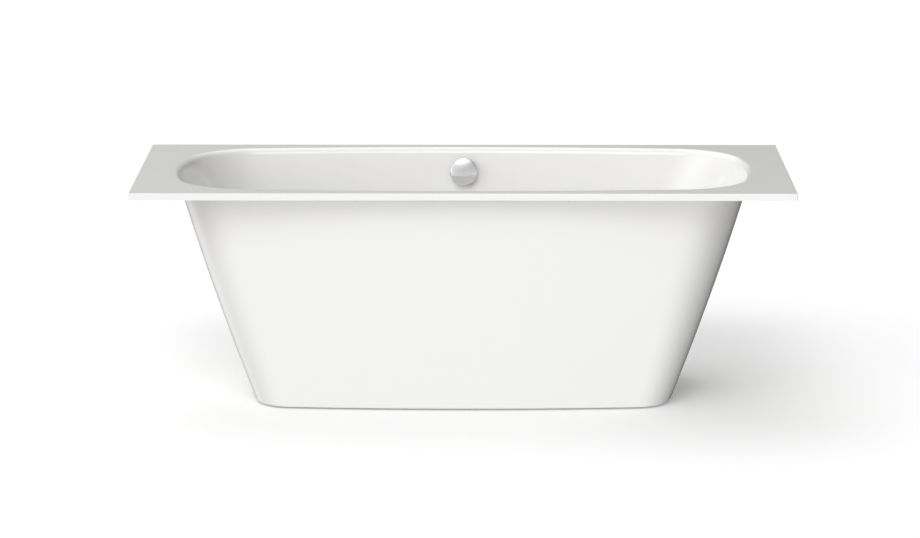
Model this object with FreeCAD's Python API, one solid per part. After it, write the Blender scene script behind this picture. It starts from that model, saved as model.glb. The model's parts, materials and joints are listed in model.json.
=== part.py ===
"""Built-in bathtub: a formed shell with a flat rim, a tapered skirt, levelling feet and a lifting waste.

Millimetres. X runs along the tub, -Y is its front and +Z is up. The origin is on the ground, under the
middle of the rim. The knob on the rear wall pulls a cable, and the cable lifts the plug in the floor.
"""
import FreeCAD
import Part
import math
import os

# Driving dimensions: the rim and the basin
rim_length = 1700.0
rim_width = 750.0
rim_edge = 18.0
rim_edge_round = 1.5
rim_corner_round = 3.0
rim_roll = 20.0
shell_wall = 6.0
end_land = 91.0
side_land = 37.0
opening_corner = 195.0
end_bow_angle = 12.5
side_bow_angle = 4.8
basin_depth = 445.0
end_slope_angle = 27.0
side_slope_angle = 11.0
floor_corner = 130.0
floor_round = 75.0

# Driving dimensions: the skirt round the basin
skirt_wall = 5.0
skirt_end_inset = 9.0
skirt_side_inset = 7.0
end_taper = 194.0
side_taper = 76.0
taper_corner_loss = 67.0
end_bulge = 6.5
side_bulge = 3.0
skirt_ground_gap = 4.0
skirt_flange = 29.0
skirt_lip = 18.0
service_width = 320.0
service_corner = 40.0
service_strip = 6.0
middle_share = 0.5
skirt_section_shares = (0.0, middle_share, 1.0)

# Driving dimensions: the battens under the rim and the board under the floor
batten_clearance = 0.3
roll_clearance = 1.0
batten_end_gap = 0.5
board_thickness = 16.0
board_margin = 30.0
board_corner = 40.0
board_hole_clearance = 3.0
board_hole_margin = 11.0

# Driving dimensions: screws
screw_clearance = 0.1
skirt_screw_radius = 2.0
skirt_screw_length = 10.0
skirt_screw_head_radius = 4.0
skirt_screw_head = 2.4
skirt_screw_inset = 8.0
skirt_screw_pitch = 180.0
end_screw_pitch = 120.0
rail_screw_radius = 2.5
rail_screw_length = 12.0
rail_screw_head_radius = 5.0
rail_screw_head = 3.0

# Driving dimensions: rails and feet
rail_end_inset = 144.0
rail_overhang = 27.0
rail_depth = 40.0
rail_inner_width = 34.0
rail_wall = 2.0
rail_lip = 18.0
foot_inset = 30.0
foot_rod_radius = 5.0
foot_rod_clearance = 0.08
foot_hole_clearance = 0.6
foot_rod_headroom = 4.0
foot_pad_radius = 25.0
foot_pad_top_radius = 13.0
foot_pad_edge = 6.0
foot_pad_height = 17.0
foot_socket = 9.0
foot_nut_flats = 17.0
foot_nut_height = 8.0
nut_sides = 6

# Driving dimensions: the waste and its trap, stacked from the ground up to the basin floor
trap_ground_gap = 6.0
trap_pipe_radius = 20.0
trap_pipe_wall = 2.5
trap_radius = 36.0
trap_stub = 12.0
outlet_reach = 45.0
outlet_spigot = 45.0
outlet_collar = 3.0
outlet_collar_width = 6.0
waste_spigot = 12.0
waste_cup_radius = 36.0
waste_cup_height = 46.0
waste_cup_wall = 4.0
waste_rim_radius = 44.0
waste_rim = 5.0
waste_gasket_thickness = 3.0
waste_seal_thickness = 1.5
flange_plate = 2.5
flange_radius = 36.0
flange_edge = 1.0
sump_margin = 7.0
tube_radius = 23.0
tube_wall = 2.5
tube_length = 23.0
tube_clearance = 0.3
waste_hole_clearance = 2.0
hub_radius = 8.0
hub_height = 9.0
spoke_width = 3.0
spoke_count = 3

# Driving dimensions: the plug and its lever
plug_radius = 31.0
plug_edge = 3.0
plug_dome = 3.5
plug_lift = 12.0
stem_radius = 4.0
running_clearance = 0.05
plug_seal_inner = 24.0
plug_seal_outer = 30.0
plug_seal_thickness = 2.5
seat_gap = 0.2
contact_gap = 0.3
lever_arm = 21.0
lever_tip_radius = 4.0
lever_hub_radius = 5.0
lever_web = 6.0
lever_width = 8.0
lever_rise = 18.0
lever_cable_arm = 14.0
lever_eye_radius = 3.0
lever_eye_hole = 1.2
lever_pin_radius = 2.5
lever_pin_seat = 3.0

# Driving dimensions: the overflow and its knob
overflow_drop = 64.0
overflow_hole_radius = 26.0
overflow_gasket_thickness = 3.0
overflow_cup_wall = 4.0
overflow_cup_depth = 40.0
overflow_flange_radius = 34.0
overflow_flange = 4.0
overflow_boss_radius = 3.6
overflow_boss_inset = 4.0
overflow_bearing_radius = 7.0
overflow_bearing = 8.0
bridge_radius = 33.0
bridge_ring = 14.0
bridge_thickness = 3.0
bridge_hub_radius = 7.0
bridge_hub_height = 8.0
bridge_spoke = 5.0
bridge_screw_radius = 2.0
bridge_screw_length = 28.0
bridge_screw_head_radius = 3.6
bridge_screw_head = 2.4
knob_radius = 36.0
knob_gap = 10.0
knob_depth = 11.0
knob_dome = 3.0
knob_round = 2.0
knob_wall = 3.0
knob_boss_radius = 7.0
spindle_radius = 3.0
spindle_end_gap = 0.5
thrust_gap = 0.5
set_screw_radius = 1.5
set_screw_access = 0.5
cam_radius = 10.0
cam_thickness = 5.0
cam_hole_radius = 1.3
knob_turn_angle = 90.0

# Driving dimensions: the overflow pipe and the pull cable
pipe_radius = 16.0
pipe_wall = 2.0
pipe_standoff = 30.0
overflow_spigot = 18.0
elbow_radius = 60.0
elbow_stub = 15.0
inlet_rise = 18.0
inlet_spigot = 20.0
coupling_ring = 5.0
coupling_length = 22.0
coupling_clearance = 0.15
coupling_sides = 8
cable_radius = 2.5
cable_bore = 1.3
cable_wire_radius = 1.0
cable_bend = 50.0
cable_slack = 12.0
port_radius = 6.0
port_length = 12.0
ferrule_radius = 4.0
ferrule_length = 14.0
ferrule_seat = 6.0

# One overrun for every cut, and a tolerance for finding edges
overrun = 20.0
edge_tolerance = 0.01

Vector = FreeCAD.Vector
along_x = Vector(1, 0, 0)
along_y = Vector(0, 1, 0)
along_z = Vector(0, 0, 1)
right_angle = 90.0
full_turn = 360.0


def sine(angle):
    return math.sin(math.radians(angle))


def cosine(angle):
    return math.cos(math.radians(angle))


def tangent(angle):
    return math.tan(math.radians(angle))


def rounding_run(radius, slope):
    """How far a rounding between a level face and a sloped wall reaches along the level face."""
    return radius * tangent((right_angle - slope) / 2)


# Levels from the ground up
trap_low = trap_ground_gap + trap_pipe_radius
trap_start = trap_low + trap_radius + trap_stub
outlet_level = trap_low + trap_radius + trap_radius
cup_bottom = trap_start + waste_spigot
cup_top = cup_bottom + waste_cup_height
sump_under = cup_top + waste_rim + waste_gasket_thickness
sump_depth = waste_seal_thickness + flange_plate
floor_under = sump_under + sump_depth
floor_level = floor_under + shell_wall
rim_height = floor_level + basin_depth
rim_under = rim_height - shell_wall
skirt_top = rim_height - rim_edge
board_under = floor_under - board_thickness
rail_under = board_under - rail_depth
sump_radius = flange_radius + sump_margin
inlet_level = cup_bottom + inlet_rise

# The basin's edge before it is rolled over into the rim
opening_half_length = rim_length / 2 - end_land
opening_half_width = rim_width / 2 - side_land
end_roll_run = rounding_run(rim_roll, end_slope_angle)
side_roll_run = rounding_run(rim_roll, side_slope_angle)
edge_half_length = opening_half_length - end_roll_run
edge_half_width = opening_half_width - side_roll_run
edge_corner = opening_corner - (end_roll_run + side_roll_run) / 2

# The flat of the floor, the board under it, and what the board's size places: waste, rails and feet
end_lean = basin_depth * tangent(end_slope_angle)
side_lean = basin_depth * tangent(side_slope_angle)
flat_half_length = edge_half_length - end_lean - rounding_run(floor_round, end_slope_angle)
flat_half_width = edge_half_width - side_lean - rounding_run(floor_round, side_slope_angle)
board_half_length = flat_half_length - board_margin
board_half_width = flat_half_width - board_margin
board_hole_radius = sump_radius + shell_wall + board_hole_clearance
waste_offset = board_half_width - board_hole_radius - board_hole_margin
rail_offset = board_half_length - rail_end_inset
rail_half_length = board_half_width + rail_overhang
rail_screw_offset = rail_half_length / 2
foot_offset = rail_half_length - foot_inset

# The overflow's place on the rear wall: its axis points into the basin
overflow_level = rim_height - overflow_drop
overflow_seat = Vector(0, edge_half_width - overflow_drop * tangent(side_slope_angle), overflow_level)
overflow_axis = Vector(0, -cosine(side_slope_angle), sine(side_slope_angle))
wall_up = Vector(0, sine(side_slope_angle), cosine(side_slope_angle))
overflow_place = FreeCAD.Placement(overflow_seat, FreeCAD.Rotation(along_x, right_angle - side_slope_angle))
cup_face = -shell_wall - overflow_gasket_thickness
cup_back = cup_face - overflow_cup_depth
cup_floor = cup_back + overflow_cup_wall
cup_radius = overflow_hole_radius + overflow_cup_wall

# The lever's swing that gives the plug its lift
lever_half_swing = math.degrees(math.asin(plug_lift / 2 / lever_arm))
pivot_level = cup_bottom + lever_rise
cable_level = pivot_level + lever_cable_arm * cosine(lever_half_swing)
cable_pull = 2 * lever_cable_arm * sine(lever_half_swing)
cam_pin_radius = cable_pull / 2 / sine(knob_turn_angle / 2)


def barrel_radii(half_length, half_width, corner):
    """Radii of the end and side arcs that meet the corner arcs at the two bow angles."""
    end_sine, end_cosine = sine(end_bow_angle), cosine(end_bow_angle)
    side_sine, side_cosine = sine(side_bow_angle), cosine(side_bow_angle)
    across = corner * (end_cosine - side_sine) - half_length
    deep = corner * (end_sine - side_cosine) + half_width
    scale = (end_cosine - 1) * (1 - side_cosine) + side_sine * end_sine
    end_radius = (across * (1 - side_cosine) + side_sine * deep) / scale
    side_radius = ((end_cosine - 1) * deep - end_sine * across) / scale
    return end_radius, side_radius


def barrel(half_length, half_width, corner, level):
    """Closed outline of eight tangent arcs: bowed ends, bowed sides and round corners."""
    end_radius, side_radius = barrel_radii(half_length, half_width, corner)
    end_x = half_length - end_radius * (1 - cosine(end_bow_angle))
    end_y = end_radius * sine(end_bow_angle)
    side_x = side_radius * sine(side_bow_angle)
    side_y = half_width - side_radius * (1 - cosine(side_bow_angle))
    middle = (end_bow_angle + right_angle - side_bow_angle) / 2
    turn_x = side_x + corner * (cosine(middle) - sine(side_bow_angle))
    turn_y = end_y + corner * (sine(middle) - sine(end_bow_angle))
    quarter_signs = ((1, 1), (-1, 1), (-1, -1), (1, -1))
    edges = []
    for sign_x, sign_y in quarter_signs:
        end = Vector(sign_x * end_x, sign_y * end_y, level)
        turn = Vector(sign_x * turn_x, sign_y * turn_y, level)
        side = Vector(sign_x * side_x, sign_y * side_y, level)
        if sign_x * sign_y > 0:
            far_side = Vector(-side.x, side.y, level)
            edges.append(Part.Arc(end, turn, side).toShape())
            edges.append(Part.Arc(side, Vector(0, sign_y * half_width, level), far_side).toShape())
        else:
            far_end = Vector(end.x, -end.y, level)
            edges.append(Part.Arc(side, turn, end).toShape())
            edges.append(Part.Arc(end, Vector(sign_x * half_length, 0, level), far_end).toShape())
    return Part.Wire(edges)


def prism(outline, height):
    return Part.Face(outline).extrude(Vector(0, 0, height))


def block(low, high):
    """Box between two opposite corners."""
    size = high - low
    return Part.makeBox(size.x, size.y, size.z, low)


def rod(radius, base, axis, length):
    return Part.makeCylinder(radius, length, base, axis)


def ring(outer, inner, base, axis, length):
    """Tube with flat ends along an axis."""
    return rod(outer, base, axis, length).cut(rod(inner, base, axis, length))


def turned(*steps):
    """Solid turned about Z from (radius, height) points; a step of two points is an arc to the second."""
    points = [[Vector(*_on_profile(point)) for point in step] if isinstance(step[0], tuple)
              else [Vector(*_on_profile(step))] for step in steps]
    edges = []
    for here, there in zip(points, points[1:] + points[:1]):
        if len(there) > 1:
            edges.append(Part.Arc(here[-1], there[0], there[1]).toShape())
        else:
            edges.append(Part.LineSegment(here[-1], there[0]).toShape())
    return Part.Face(Part.Wire(edges)).revolve(Vector(), along_z, full_turn)


def _on_profile(point):
    return point[0], 0, point[1]


def dome(radius, base, rise):
    """Arc step of a turned profile: a ball's cap from a radius at a base level up to the axis."""
    ball = (radius ** 2 + rise ** 2) / 2 / rise
    half = radius * middle_share
    centre = base + rise - ball
    return (half, centre + math.sqrt(ball ** 2 - half ** 2)), (0, base + rise)


def nut(flats, sides, bore, base, axis, length):
    """Prism with a number of equal flats, bored along its axis."""
    corner_radius = flats / 2 / cosine(full_turn / 2 / sides)
    corners = []
    for index in range(sides + 1):
        angle = full_turn * index / sides
        corners.append(Vector(corner_radius * cosine(angle), corner_radius * sine(angle), 0))
    solid = Part.Face(Part.makePolygon(corners)).extrude(Vector(0, 0, length))
    solid = solid.cut(rod(bore, Vector(), along_z, length))
    solid.Placement = FreeCAD.Placement(base, FreeCAD.Rotation(along_z, axis))
    return solid


def rounded_path(points, radius):
    """Straight runs through the points, joined by tangent arcs of one radius."""
    edges = []
    here = points[0]
    for before, corner, after in zip(points, points[1:], points[2:]):
        come = (corner - before).normalize()
        leave = (after - corner).normalize()
        half_turn = come.getAngle(leave) / 2
        reach = radius * math.tan(half_turn)
        enter = corner - come * reach
        exit_point = corner + leave * reach
        inward = (leave - come).normalize()
        bulge = corner + inward * (radius / math.cos(half_turn) - radius)
        if here.distanceToPoint(enter) > edge_tolerance:
            edges.append(Part.LineSegment(here, enter).toShape())
        edges.append(Part.Arc(enter, bulge, exit_point).toShape())
        here = exit_point
    if here.distanceToPoint(points[-1]) > edge_tolerance:
        edges.append(Part.LineSegment(here, points[-1]).toShape())
    return Part.Wire(edges)


def swept(path, radius):
    """Round bar along a path."""
    first = path.Edges[0]
    start = first.valueAt(first.FirstParameter)
    heading = first.tangentAt(first.FirstParameter)
    return path.makePipeShell([Part.Wire(Part.makeCircle(radius, start, heading))], True, False)


def swept_tube(path, outer, wall):
    return swept(path, outer).cut(swept(path, outer - wall))


def round_edges_at(solid, level):
    """Curved edges of a solid that lie in one level plane."""
    found = []
    for edge in solid.Edges:
        box = edge.BoundBox
        in_plane = abs(box.ZMin - level) < edge_tolerance and abs(box.ZMax - level) < edge_tolerance
        if in_plane and not isinstance(edge.Curve, (Part.Line, Part.LineSegment)):
            found.append(edge)
    return found


def on_wall(solid):
    """Place a solid that was drawn about the overflow's axis on the rear wall."""
    solid.Placement = overflow_place.multiply(solid.Placement)
    return solid


def wall_point(across, up, out):
    """Point given from the overflow's seat: along X, up the wall and out behind it."""
    return overflow_seat + along_x * across + wall_up * up - overflow_axis * out


def compound(solids):
    return Part.makeCompound(solids)


def screw(seat, axis, shank_radius, shank_length, head_radius, head_height):
    """Plain screw: a shank along an axis from the seat of its head, and a round head behind the seat."""
    shank = rod(shank_radius, seat, axis, shank_length)
    return shank.fuse(rod(head_radius, seat, -axis, head_height)).removeSplitter()


# Shell
def basin_outline(level, offset):
    """Outline of the basin's wall at a level, set out from its inner face by an offset."""
    drop = rim_height - level
    half_length = edge_half_length - drop * tangent(end_slope_angle) + offset / cosine(end_slope_angle)
    half_width = edge_half_width - drop * tangent(side_slope_angle) + offset / cosine(side_slope_angle)
    corner = edge_corner - (edge_corner - floor_corner) * drop / basin_depth + offset
    return barrel(half_length, half_width, corner, level)


def basin_form(floor, offset):
    """Solid that fills the basin from a floor level to the rim, with a rounded floor edge."""
    form = Part.makeLoft([basin_outline(rim_height, offset), basin_outline(floor, offset)], True, True)
    return form.makeFillet(floor_round + offset, round_edges_at(form, floor))


def rim_slab():
    """The rim with its turned-down edge, before the basin is opened."""
    corner = Vector(rim_length / 2, rim_width / 2, 0)
    slab = block(Vector(-corner.x, -corner.y, skirt_top), Vector(corner.x, corner.y, rim_height))
    upright = [edge for edge in slab.Edges if edge.BoundBox.ZLength > edge_tolerance]
    slab = slab.makeFillet(rim_corner_round, upright)
    top = [edge for edge in slab.Edges if edge.BoundBox.ZMin > rim_height - edge_tolerance]
    slab = slab.makeFillet(rim_edge_round, top)
    wall = Vector(shell_wall, shell_wall, 0)
    hollow_low = Vector(-corner.x, -corner.y, skirt_top - overrun) + wall
    hollow_high = Vector(corner.x, corner.y, rim_under) - wall
    return slab.cut(block(hollow_low, hollow_high))


def tub_shell():
    body = basin_form(floor_under, shell_wall).fuse(rim_slab())
    body = body.makeFillet(rim_roll - shell_wall, round_edges_at(body, rim_under))
    waste_axis = Vector(0, waste_offset, sump_under)
    body = body.fuse(rod(sump_radius + shell_wall, waste_axis, along_z, sump_depth))
    sky_half = Vector(rim_length, rim_width, 0)
    sky = block(Vector(0, 0, rim_height) - sky_half, Vector(0, 0, rim_height + overrun) + sky_half)
    hollow = basin_form(floor_level, 0).fuse(sky)
    hollow = hollow.makeFillet(rim_roll, round_edges_at(hollow, rim_height))
    sump = rod(sump_radius, waste_axis + Vector(0, 0, shell_wall), along_z, sump_depth + overrun)
    waste_hole = rod(tube_radius + waste_hole_clearance, waste_axis, along_z, shell_wall)
    wall_hole = on_wall(rod(overflow_hole_radius, Vector(0, 0, -overrun), along_z, overrun + overrun))
    return body.cut(hollow).cut(sump).cut(waste_hole).cut(wall_hole).removeSplitter()


# Skirt
def skirt_outline(share, inset):
    """Outline of the skirt at a share of its drop, with the sides swelling a little half-way down."""
    swell = (1 - share) * share / middle_share ** 2
    half_length = skirt_top_half_length - end_taper * share + end_bulge * swell - inset
    half_width = skirt_top_half_width - side_taper * share + side_bulge * swell - inset
    level = skirt_top - (skirt_top - skirt_ground_gap) * share
    return barrel(half_length, half_width, skirt_top_corner - taper_corner_loss * share - inset, level)


skirt_top_half_length = opening_half_length - skirt_end_inset
skirt_top_half_width = opening_half_width - skirt_side_inset
skirt_top_corner = opening_corner - (skirt_end_inset + skirt_side_inset) / 2
skirt_base_half_width = skirt_top_half_width - side_taper


def skirt_form(inset):
    return Part.makeLoft([skirt_outline(share, inset) for share in skirt_section_shares], True, False)


def service_opening():
    """Arched opening in the rear of the skirt, for the overflow, the trap and the hands that fit them."""
    half = service_width / 2
    top = skirt_top - skirt_wall - service_strip
    low = skirt_ground_gap - overrun
    bend = service_corner * (1 - cosine(right_angle / 2))
    left_low = Vector(-half, 0, low)
    left = Vector(-half, 0, top - service_corner)
    left_bend = Vector(bend - half, 0, top - bend)
    left_top = Vector(service_corner - half, 0, top)
    edges = [Part.LineSegment(left_low, left).toShape(),
             Part.Arc(left, left_bend, left_top).toShape(),
             Part.LineSegment(left_top, Vector(-left_top.x, 0, top)).toShape(),
             Part.Arc(Vector(-left_top.x, 0, top), Vector(-left_bend.x, 0, left_bend.z),
                      Vector(half, 0, left.z)).toShape(),
             Part.LineSegment(Vector(half, 0, left.z), Vector(half, 0, low)).toShape(),
             Part.LineSegment(Vector(half, 0, low), left_low).toShape()]
    return Part.Face(Part.Wire(edges)).extrude(Vector(0, rim_width, 0))


def outer_skirt():
    outer = skirt_form(0)
    inner = skirt_form(skirt_wall)
    flange_outline = barrel(skirt_top_half_length + skirt_flange, skirt_top_half_width + skirt_flange,
                            skirt_top_corner + skirt_flange, skirt_top - skirt_wall)
    flange = prism(flange_outline, skirt_wall).cut(inner)
    half = Vector(rim_length / 2, rim_width / 2, 0)
    base_low = Vector(0, 0, skirt_ground_gap)
    base_layer = block(base_low - half, base_low + half + Vector(0, 0, skirt_wall))
    lip_hole = prism(skirt_outline(1, skirt_lip), skirt_wall)
    lip = outer.common(base_layer).cut(lip_hole)
    skirt = outer.cut(inner).fuse(flange).fuse(lip).cut(service_opening())
    for place in skirt_screw_places():
        hole_radius = skirt_screw_radius + screw_clearance
        skirt = skirt.cut(rod(hole_radius, place - Vector(0, 0, overrun), along_z, overrun + overrun))
    return skirt.removeSplitter()


# Battens under the rim
batten_outer_x = rim_length / 2 - shell_wall - batten_clearance
batten_outer_y = rim_width / 2 - shell_wall - batten_clearance
batten_inner_x = opening_half_length + roll_clearance
batten_inner_y = opening_half_width + roll_clearance


def skirt_screw_places():
    """Points on the skirt's top plane where screws go up into the battens."""
    side_y = batten_inner_y + skirt_screw_inset
    end_x = batten_inner_x + skirt_screw_inset
    places = []
    for sign in (-1, 1):
        for step in (-3, -1, 1, 3):
            places.append(Vector(step * skirt_screw_pitch / 2, sign * side_y, skirt_top))
        for step in (-1, 1):
            places.append(Vector(sign * end_x, step * end_screw_pitch / 2, skirt_top))
    return places


def batten(low, high):
    """Board between two corners, bored for the skirt's screws."""
    board = block(low, high)
    for place in skirt_screw_places():
        board = board.cut(rod(skirt_screw_radius + screw_clearance, place, along_z, skirt_screw_length))
    return board


def long_batten(sign):
    near, far = sorted((sign * batten_inner_y, sign * batten_outer_y))
    half = batten_inner_x - batten_end_gap
    return batten(Vector(-half, near, skirt_top), Vector(half, far, rim_under))


def end_batten(sign):
    near, far = sorted((sign * batten_inner_x, sign * batten_outer_x))
    return batten(Vector(near, -batten_outer_y, skirt_top), Vector(far, batten_outer_y, rim_under))


def skirt_screws():
    length = skirt_wall + skirt_screw_length
    seats = [place - Vector(0, 0, skirt_wall) for place in skirt_screw_places()]
    return compound([screw(seat, along_z, skirt_screw_radius, length,
                           skirt_screw_head_radius, skirt_screw_head) for seat in seats])


# Board, rails and feet
def rail_screw_places():
    """Points on the board's underside where the rails are screwed on."""
    lip_middle = rail_inner_width / 2 + rail_wall + rail_lip / 2
    places = []
    for rail_x in rail_places:
        for lip_x in (rail_x - lip_middle, rail_x + lip_middle):
            for step in (-1, 1):
                places.append(Vector(lip_x, step * rail_screw_offset, board_under))
    return places


rail_places = (-rail_offset, rail_offset)


def base_board():
    half = Vector(board_half_length, board_half_width, 0)
    board = block(Vector(0, 0, board_under) - half, Vector(0, 0, floor_under) + half)
    upright = [edge for edge in board.Edges if edge.BoundBox.ZLength > edge_tolerance]
    board = board.makeFillet(board_corner, upright)
    hole_centre = Vector(0, waste_offset, board_under)
    board = board.cut(rod(board_hole_radius, hole_centre, along_z, board_thickness))
    for place in rail_screw_places():
        board = board.cut(rod(rail_screw_radius + screw_clearance, place, along_z, rail_screw_length))
    return board


def support_rail(rail_x):
    """Hat-section rail: two lips against the board and a web below, which the feet pass through."""
    inner = rail_inner_width / 2
    outer = inner + rail_wall
    edge = outer + rail_lip
    top = board_under
    half_profile = ((inner, rail_under + rail_wall), (inner, top), (edge, top), (edge, top - rail_wall),
                    (outer, top - rail_wall), (outer, rail_under))
    right_side = [Vector(rail_x + x, -rail_half_length, z) for x, z in half_profile]
    left_side = [Vector(rail_x - x, -rail_half_length, z) for x, z in reversed(half_profile)]
    outline = right_side + left_side
    rail_run = Vector(0, rail_half_length + rail_half_length, 0)
    rail = Part.Face(Part.makePolygon(outline + outline[:1])).extrude(rail_run)
    hole_radius = foot_rod_radius + foot_hole_clearance
    for foot_y in foot_places:
        rail = rail.cut(rod(hole_radius, Vector(rail_x, foot_y, rail_under), along_z, rail_wall))
    for place in rail_screw_places():
        drill = rod(rail_screw_radius + screw_clearance, place - Vector(0, 0, rail_wall), along_z, rail_wall)
        rail = rail.cut(drill)
    return rail


foot_places = (-foot_offset, foot_offset)


def rail_screws():
    length = rail_wall + rail_screw_length
    seats = [place - Vector(0, 0, rail_wall) for place in rail_screw_places()]
    return compound([screw(seat, along_z, rail_screw_radius, length,
                           rail_screw_head_radius, rail_screw_head) for seat in seats])


def foot_nuts(base_level):
    """One nut round each foot's rod, standing on a level."""
    bore = foot_rod_radius + foot_rod_clearance
    bases = [Vector(rail_x, foot_y, base_level) for rail_x in rail_places for foot_y in foot_places]
    return compound([nut(foot_nut_flats, nut_sides, bore, base, along_z, foot_nut_height) for base in bases])


def foot_rod(foot):
    rod_bottom = foot_pad_height - foot_socket
    rod_top = board_under - foot_rod_headroom
    return rod(foot_rod_radius, foot + Vector(0, 0, rod_bottom), along_z, rod_top - rod_bottom)


def foot_pad(foot):
    socket_radius = foot_rod_radius + foot_rod_clearance
    socket_bottom = foot_pad_height - foot_socket
    pad = turned((0, 0), (foot_pad_radius, 0), (foot_pad_radius, foot_pad_edge),
                 (foot_pad_top_radius, foot_pad_height), (socket_radius, foot_pad_height),
                 (socket_radius, socket_bottom), (0, socket_bottom))
    pad.translate(foot)
    return pad


# Waste in the basin floor
def at_waste(solid):
    """Move a solid that was turned about Z onto the waste's axis."""
    solid.translate(Vector(0, waste_offset, 0))
    return solid


def waste_flange():
    plate_under = floor_level - flange_plate
    tube_bottom = plate_under - tube_length
    tube_inner = tube_radius - tube_wall
    flange = turned((tube_inner, tube_bottom), (tube_radius, tube_bottom), (tube_radius, plate_under),
                    (flange_radius, plate_under), (flange_radius, floor_level - flange_edge),
                    (flange_radius - flange_edge, floor_level), (tube_inner, floor_level))
    spoke_base = Vector(0, 0, tube_bottom)
    spoke_half = Vector(0, spoke_width / 2, 0)
    reach = Vector((tube_inner + tube_radius) / 2, 0, hub_height)
    for index in range(spoke_count):
        spoke = block(spoke_base - spoke_half, spoke_base + spoke_half + reach)
        spoke.rotate(spoke_base, along_z, full_turn * index / spoke_count)
        flange = flange.fuse(spoke)
    flange = flange.fuse(rod(hub_radius, spoke_base, along_z, hub_height))
    flange = flange.cut(rod(stem_radius + running_clearance, spoke_base, along_z, hub_height))
    return at_waste(flange.removeSplitter())


def waste_seal():
    bore = tube_radius + waste_hole_clearance
    base = Vector(0, 0, floor_level - sump_depth)
    return at_waste(ring(flange_radius, bore, base, along_z, waste_seal_thickness))


def waste_gasket():
    bore = tube_radius + waste_hole_clearance
    base = Vector(0, 0, cup_top + waste_rim)
    return at_waste(ring(waste_rim_radius, bore, base, along_z, waste_gasket_thickness))


def waste_body():
    """Cup under the floor with a spigot below, the overflow's inlet behind and the cable's port beside."""
    cup_inner = waste_cup_radius - waste_cup_wall
    spigot_inner = trap_pipe_radius - trap_pipe_wall
    neck = tube_radius + tube_clearance
    inner_bottom = cup_bottom + waste_cup_wall
    rim_top = cup_top + waste_rim
    cup = turned((spigot_inner, trap_start), (trap_pipe_radius, trap_start), (trap_pipe_radius, cup_bottom),
                 (waste_cup_radius, cup_bottom), (waste_cup_radius, cup_top), (waste_rim_radius, cup_top),
                 (waste_rim_radius, rim_top), (neck, rim_top), (neck, cup_top), (cup_inner, cup_top),
                 (cup_inner, inner_bottom), (spigot_inner, inner_bottom))
    cavity = rod(cup_inner, Vector(0, 0, inner_bottom), along_z, cup_top - inner_bottom)
    inlet_length = waste_cup_radius + inlet_spigot
    inlet_centre = Vector(0, 0, inlet_level)
    inlet = rod(pipe_radius, inlet_centre, along_y, inlet_length).cut(cavity)
    port_reach = waste_cup_radius + port_length
    port_centre = Vector(0, 0, cable_level)
    port = rod(port_radius, port_centre, -along_x, port_reach).cut(cavity)
    cup = cup.fuse(inlet).fuse(port)
    cup = cup.cut(rod(pipe_radius - pipe_wall, inlet_centre, along_y, inlet_length))
    cup = cup.cut(rod(cable_bore, port_centre, -along_x, port_reach))
    seat_start = port_centre - along_x * (port_reach - ferrule_seat)
    cup = cup.cut(rod(ferrule_radius + screw_clearance, seat_start, -along_x, ferrule_seat))
    pin_half = lever_pin_half()
    pin_start = Vector(-lever_arm, -pin_half, pivot_level)
    cup = cup.cut(rod(lever_pin_radius + running_clearance, pin_start, along_y, pin_half + pin_half))
    return at_waste(cup.removeSplitter())


def lever_pin_half():
    """Half the length of the lever's pin: to the cup's inner wall and a seat beyond it."""
    return math.sqrt((waste_cup_radius - waste_cup_wall) ** 2 - lever_arm ** 2) + lever_pin_seat


def lever_pin():
    half = lever_pin_half()
    pin_start = Vector(-lever_arm, waste_offset - half, pivot_level)
    return rod(lever_pin_radius, pin_start, along_y, half + half)


def lift_lever():
    """Rocker on its pin: one arm under the plug's stem, one arm up to the cable's eye."""
    pivot = Vector(-lever_arm, waste_offset, pivot_level)
    half_width = Vector(0, lever_width / 2, 0)
    half_web = Vector(0, 0, lever_web / 2)
    tip = pivot + along_x * lever_arm
    eye = pivot + along_z * lever_cable_arm
    eye_half = Vector(lever_eye_radius, lever_width / 2, 0)
    lever = rod(lever_hub_radius, pivot - half_width, along_y, lever_width)
    lever = lever.fuse(rod(lever_tip_radius, tip - half_width, along_y, lever_width))
    lever = lever.fuse(block(pivot - half_width - half_web, tip + half_width + half_web))
    lever = lever.fuse(block(pivot - eye_half, eye + eye_half))
    lever = lever.fuse(rod(lever_eye_radius, eye - half_width, along_y, lever_width))
    lever = lever.cut(rod(lever_pin_radius + running_clearance, pivot - half_width, along_y, lever_width))
    lever = lever.cut(rod(lever_eye_hole, eye - half_width, along_y, lever_width))
    lever.rotate(pivot, along_y, lever_half_swing)
    return lever.removeSplitter()


def waste_plug():
    """Domed plug on a stem that stands just above the lever's tip."""
    under = floor_level + seat_gap + plug_seal_thickness
    edge_top = under + plug_edge
    stem_bottom = pivot_level - plug_lift / 2 + lever_tip_radius + contact_gap
    return at_waste(turned((0, stem_bottom), (stem_radius, stem_bottom), (stem_radius, under),
                           (plug_radius, under), (plug_radius, edge_top),
                           dome(plug_radius, edge_top, plug_dome)))


def plug_seal():
    seat = Vector(0, 0, floor_level + seat_gap)
    return at_waste(ring(plug_seal_outer, plug_seal_inner, seat, along_z, plug_seal_thickness))


# Trap
trap_inlet = Vector(0, waste_offset, trap_start)
trap_exit = Vector(trap_radius + trap_radius, waste_offset + trap_radius + trap_stub, outlet_level)


def trap_bend():
    """Bend that holds water: down from the waste, up again beside it and off to the rear."""
    low = Vector(0, waste_offset, trap_low)
    far_low = Vector(trap_exit.x, waste_offset, trap_low)
    corner = Vector(trap_exit.x, waste_offset, outlet_level)
    path = rounded_path([trap_inlet, low, far_low, corner, trap_exit], trap_radius)
    return swept_tube(path, trap_pipe_radius, trap_pipe_wall)


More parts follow.
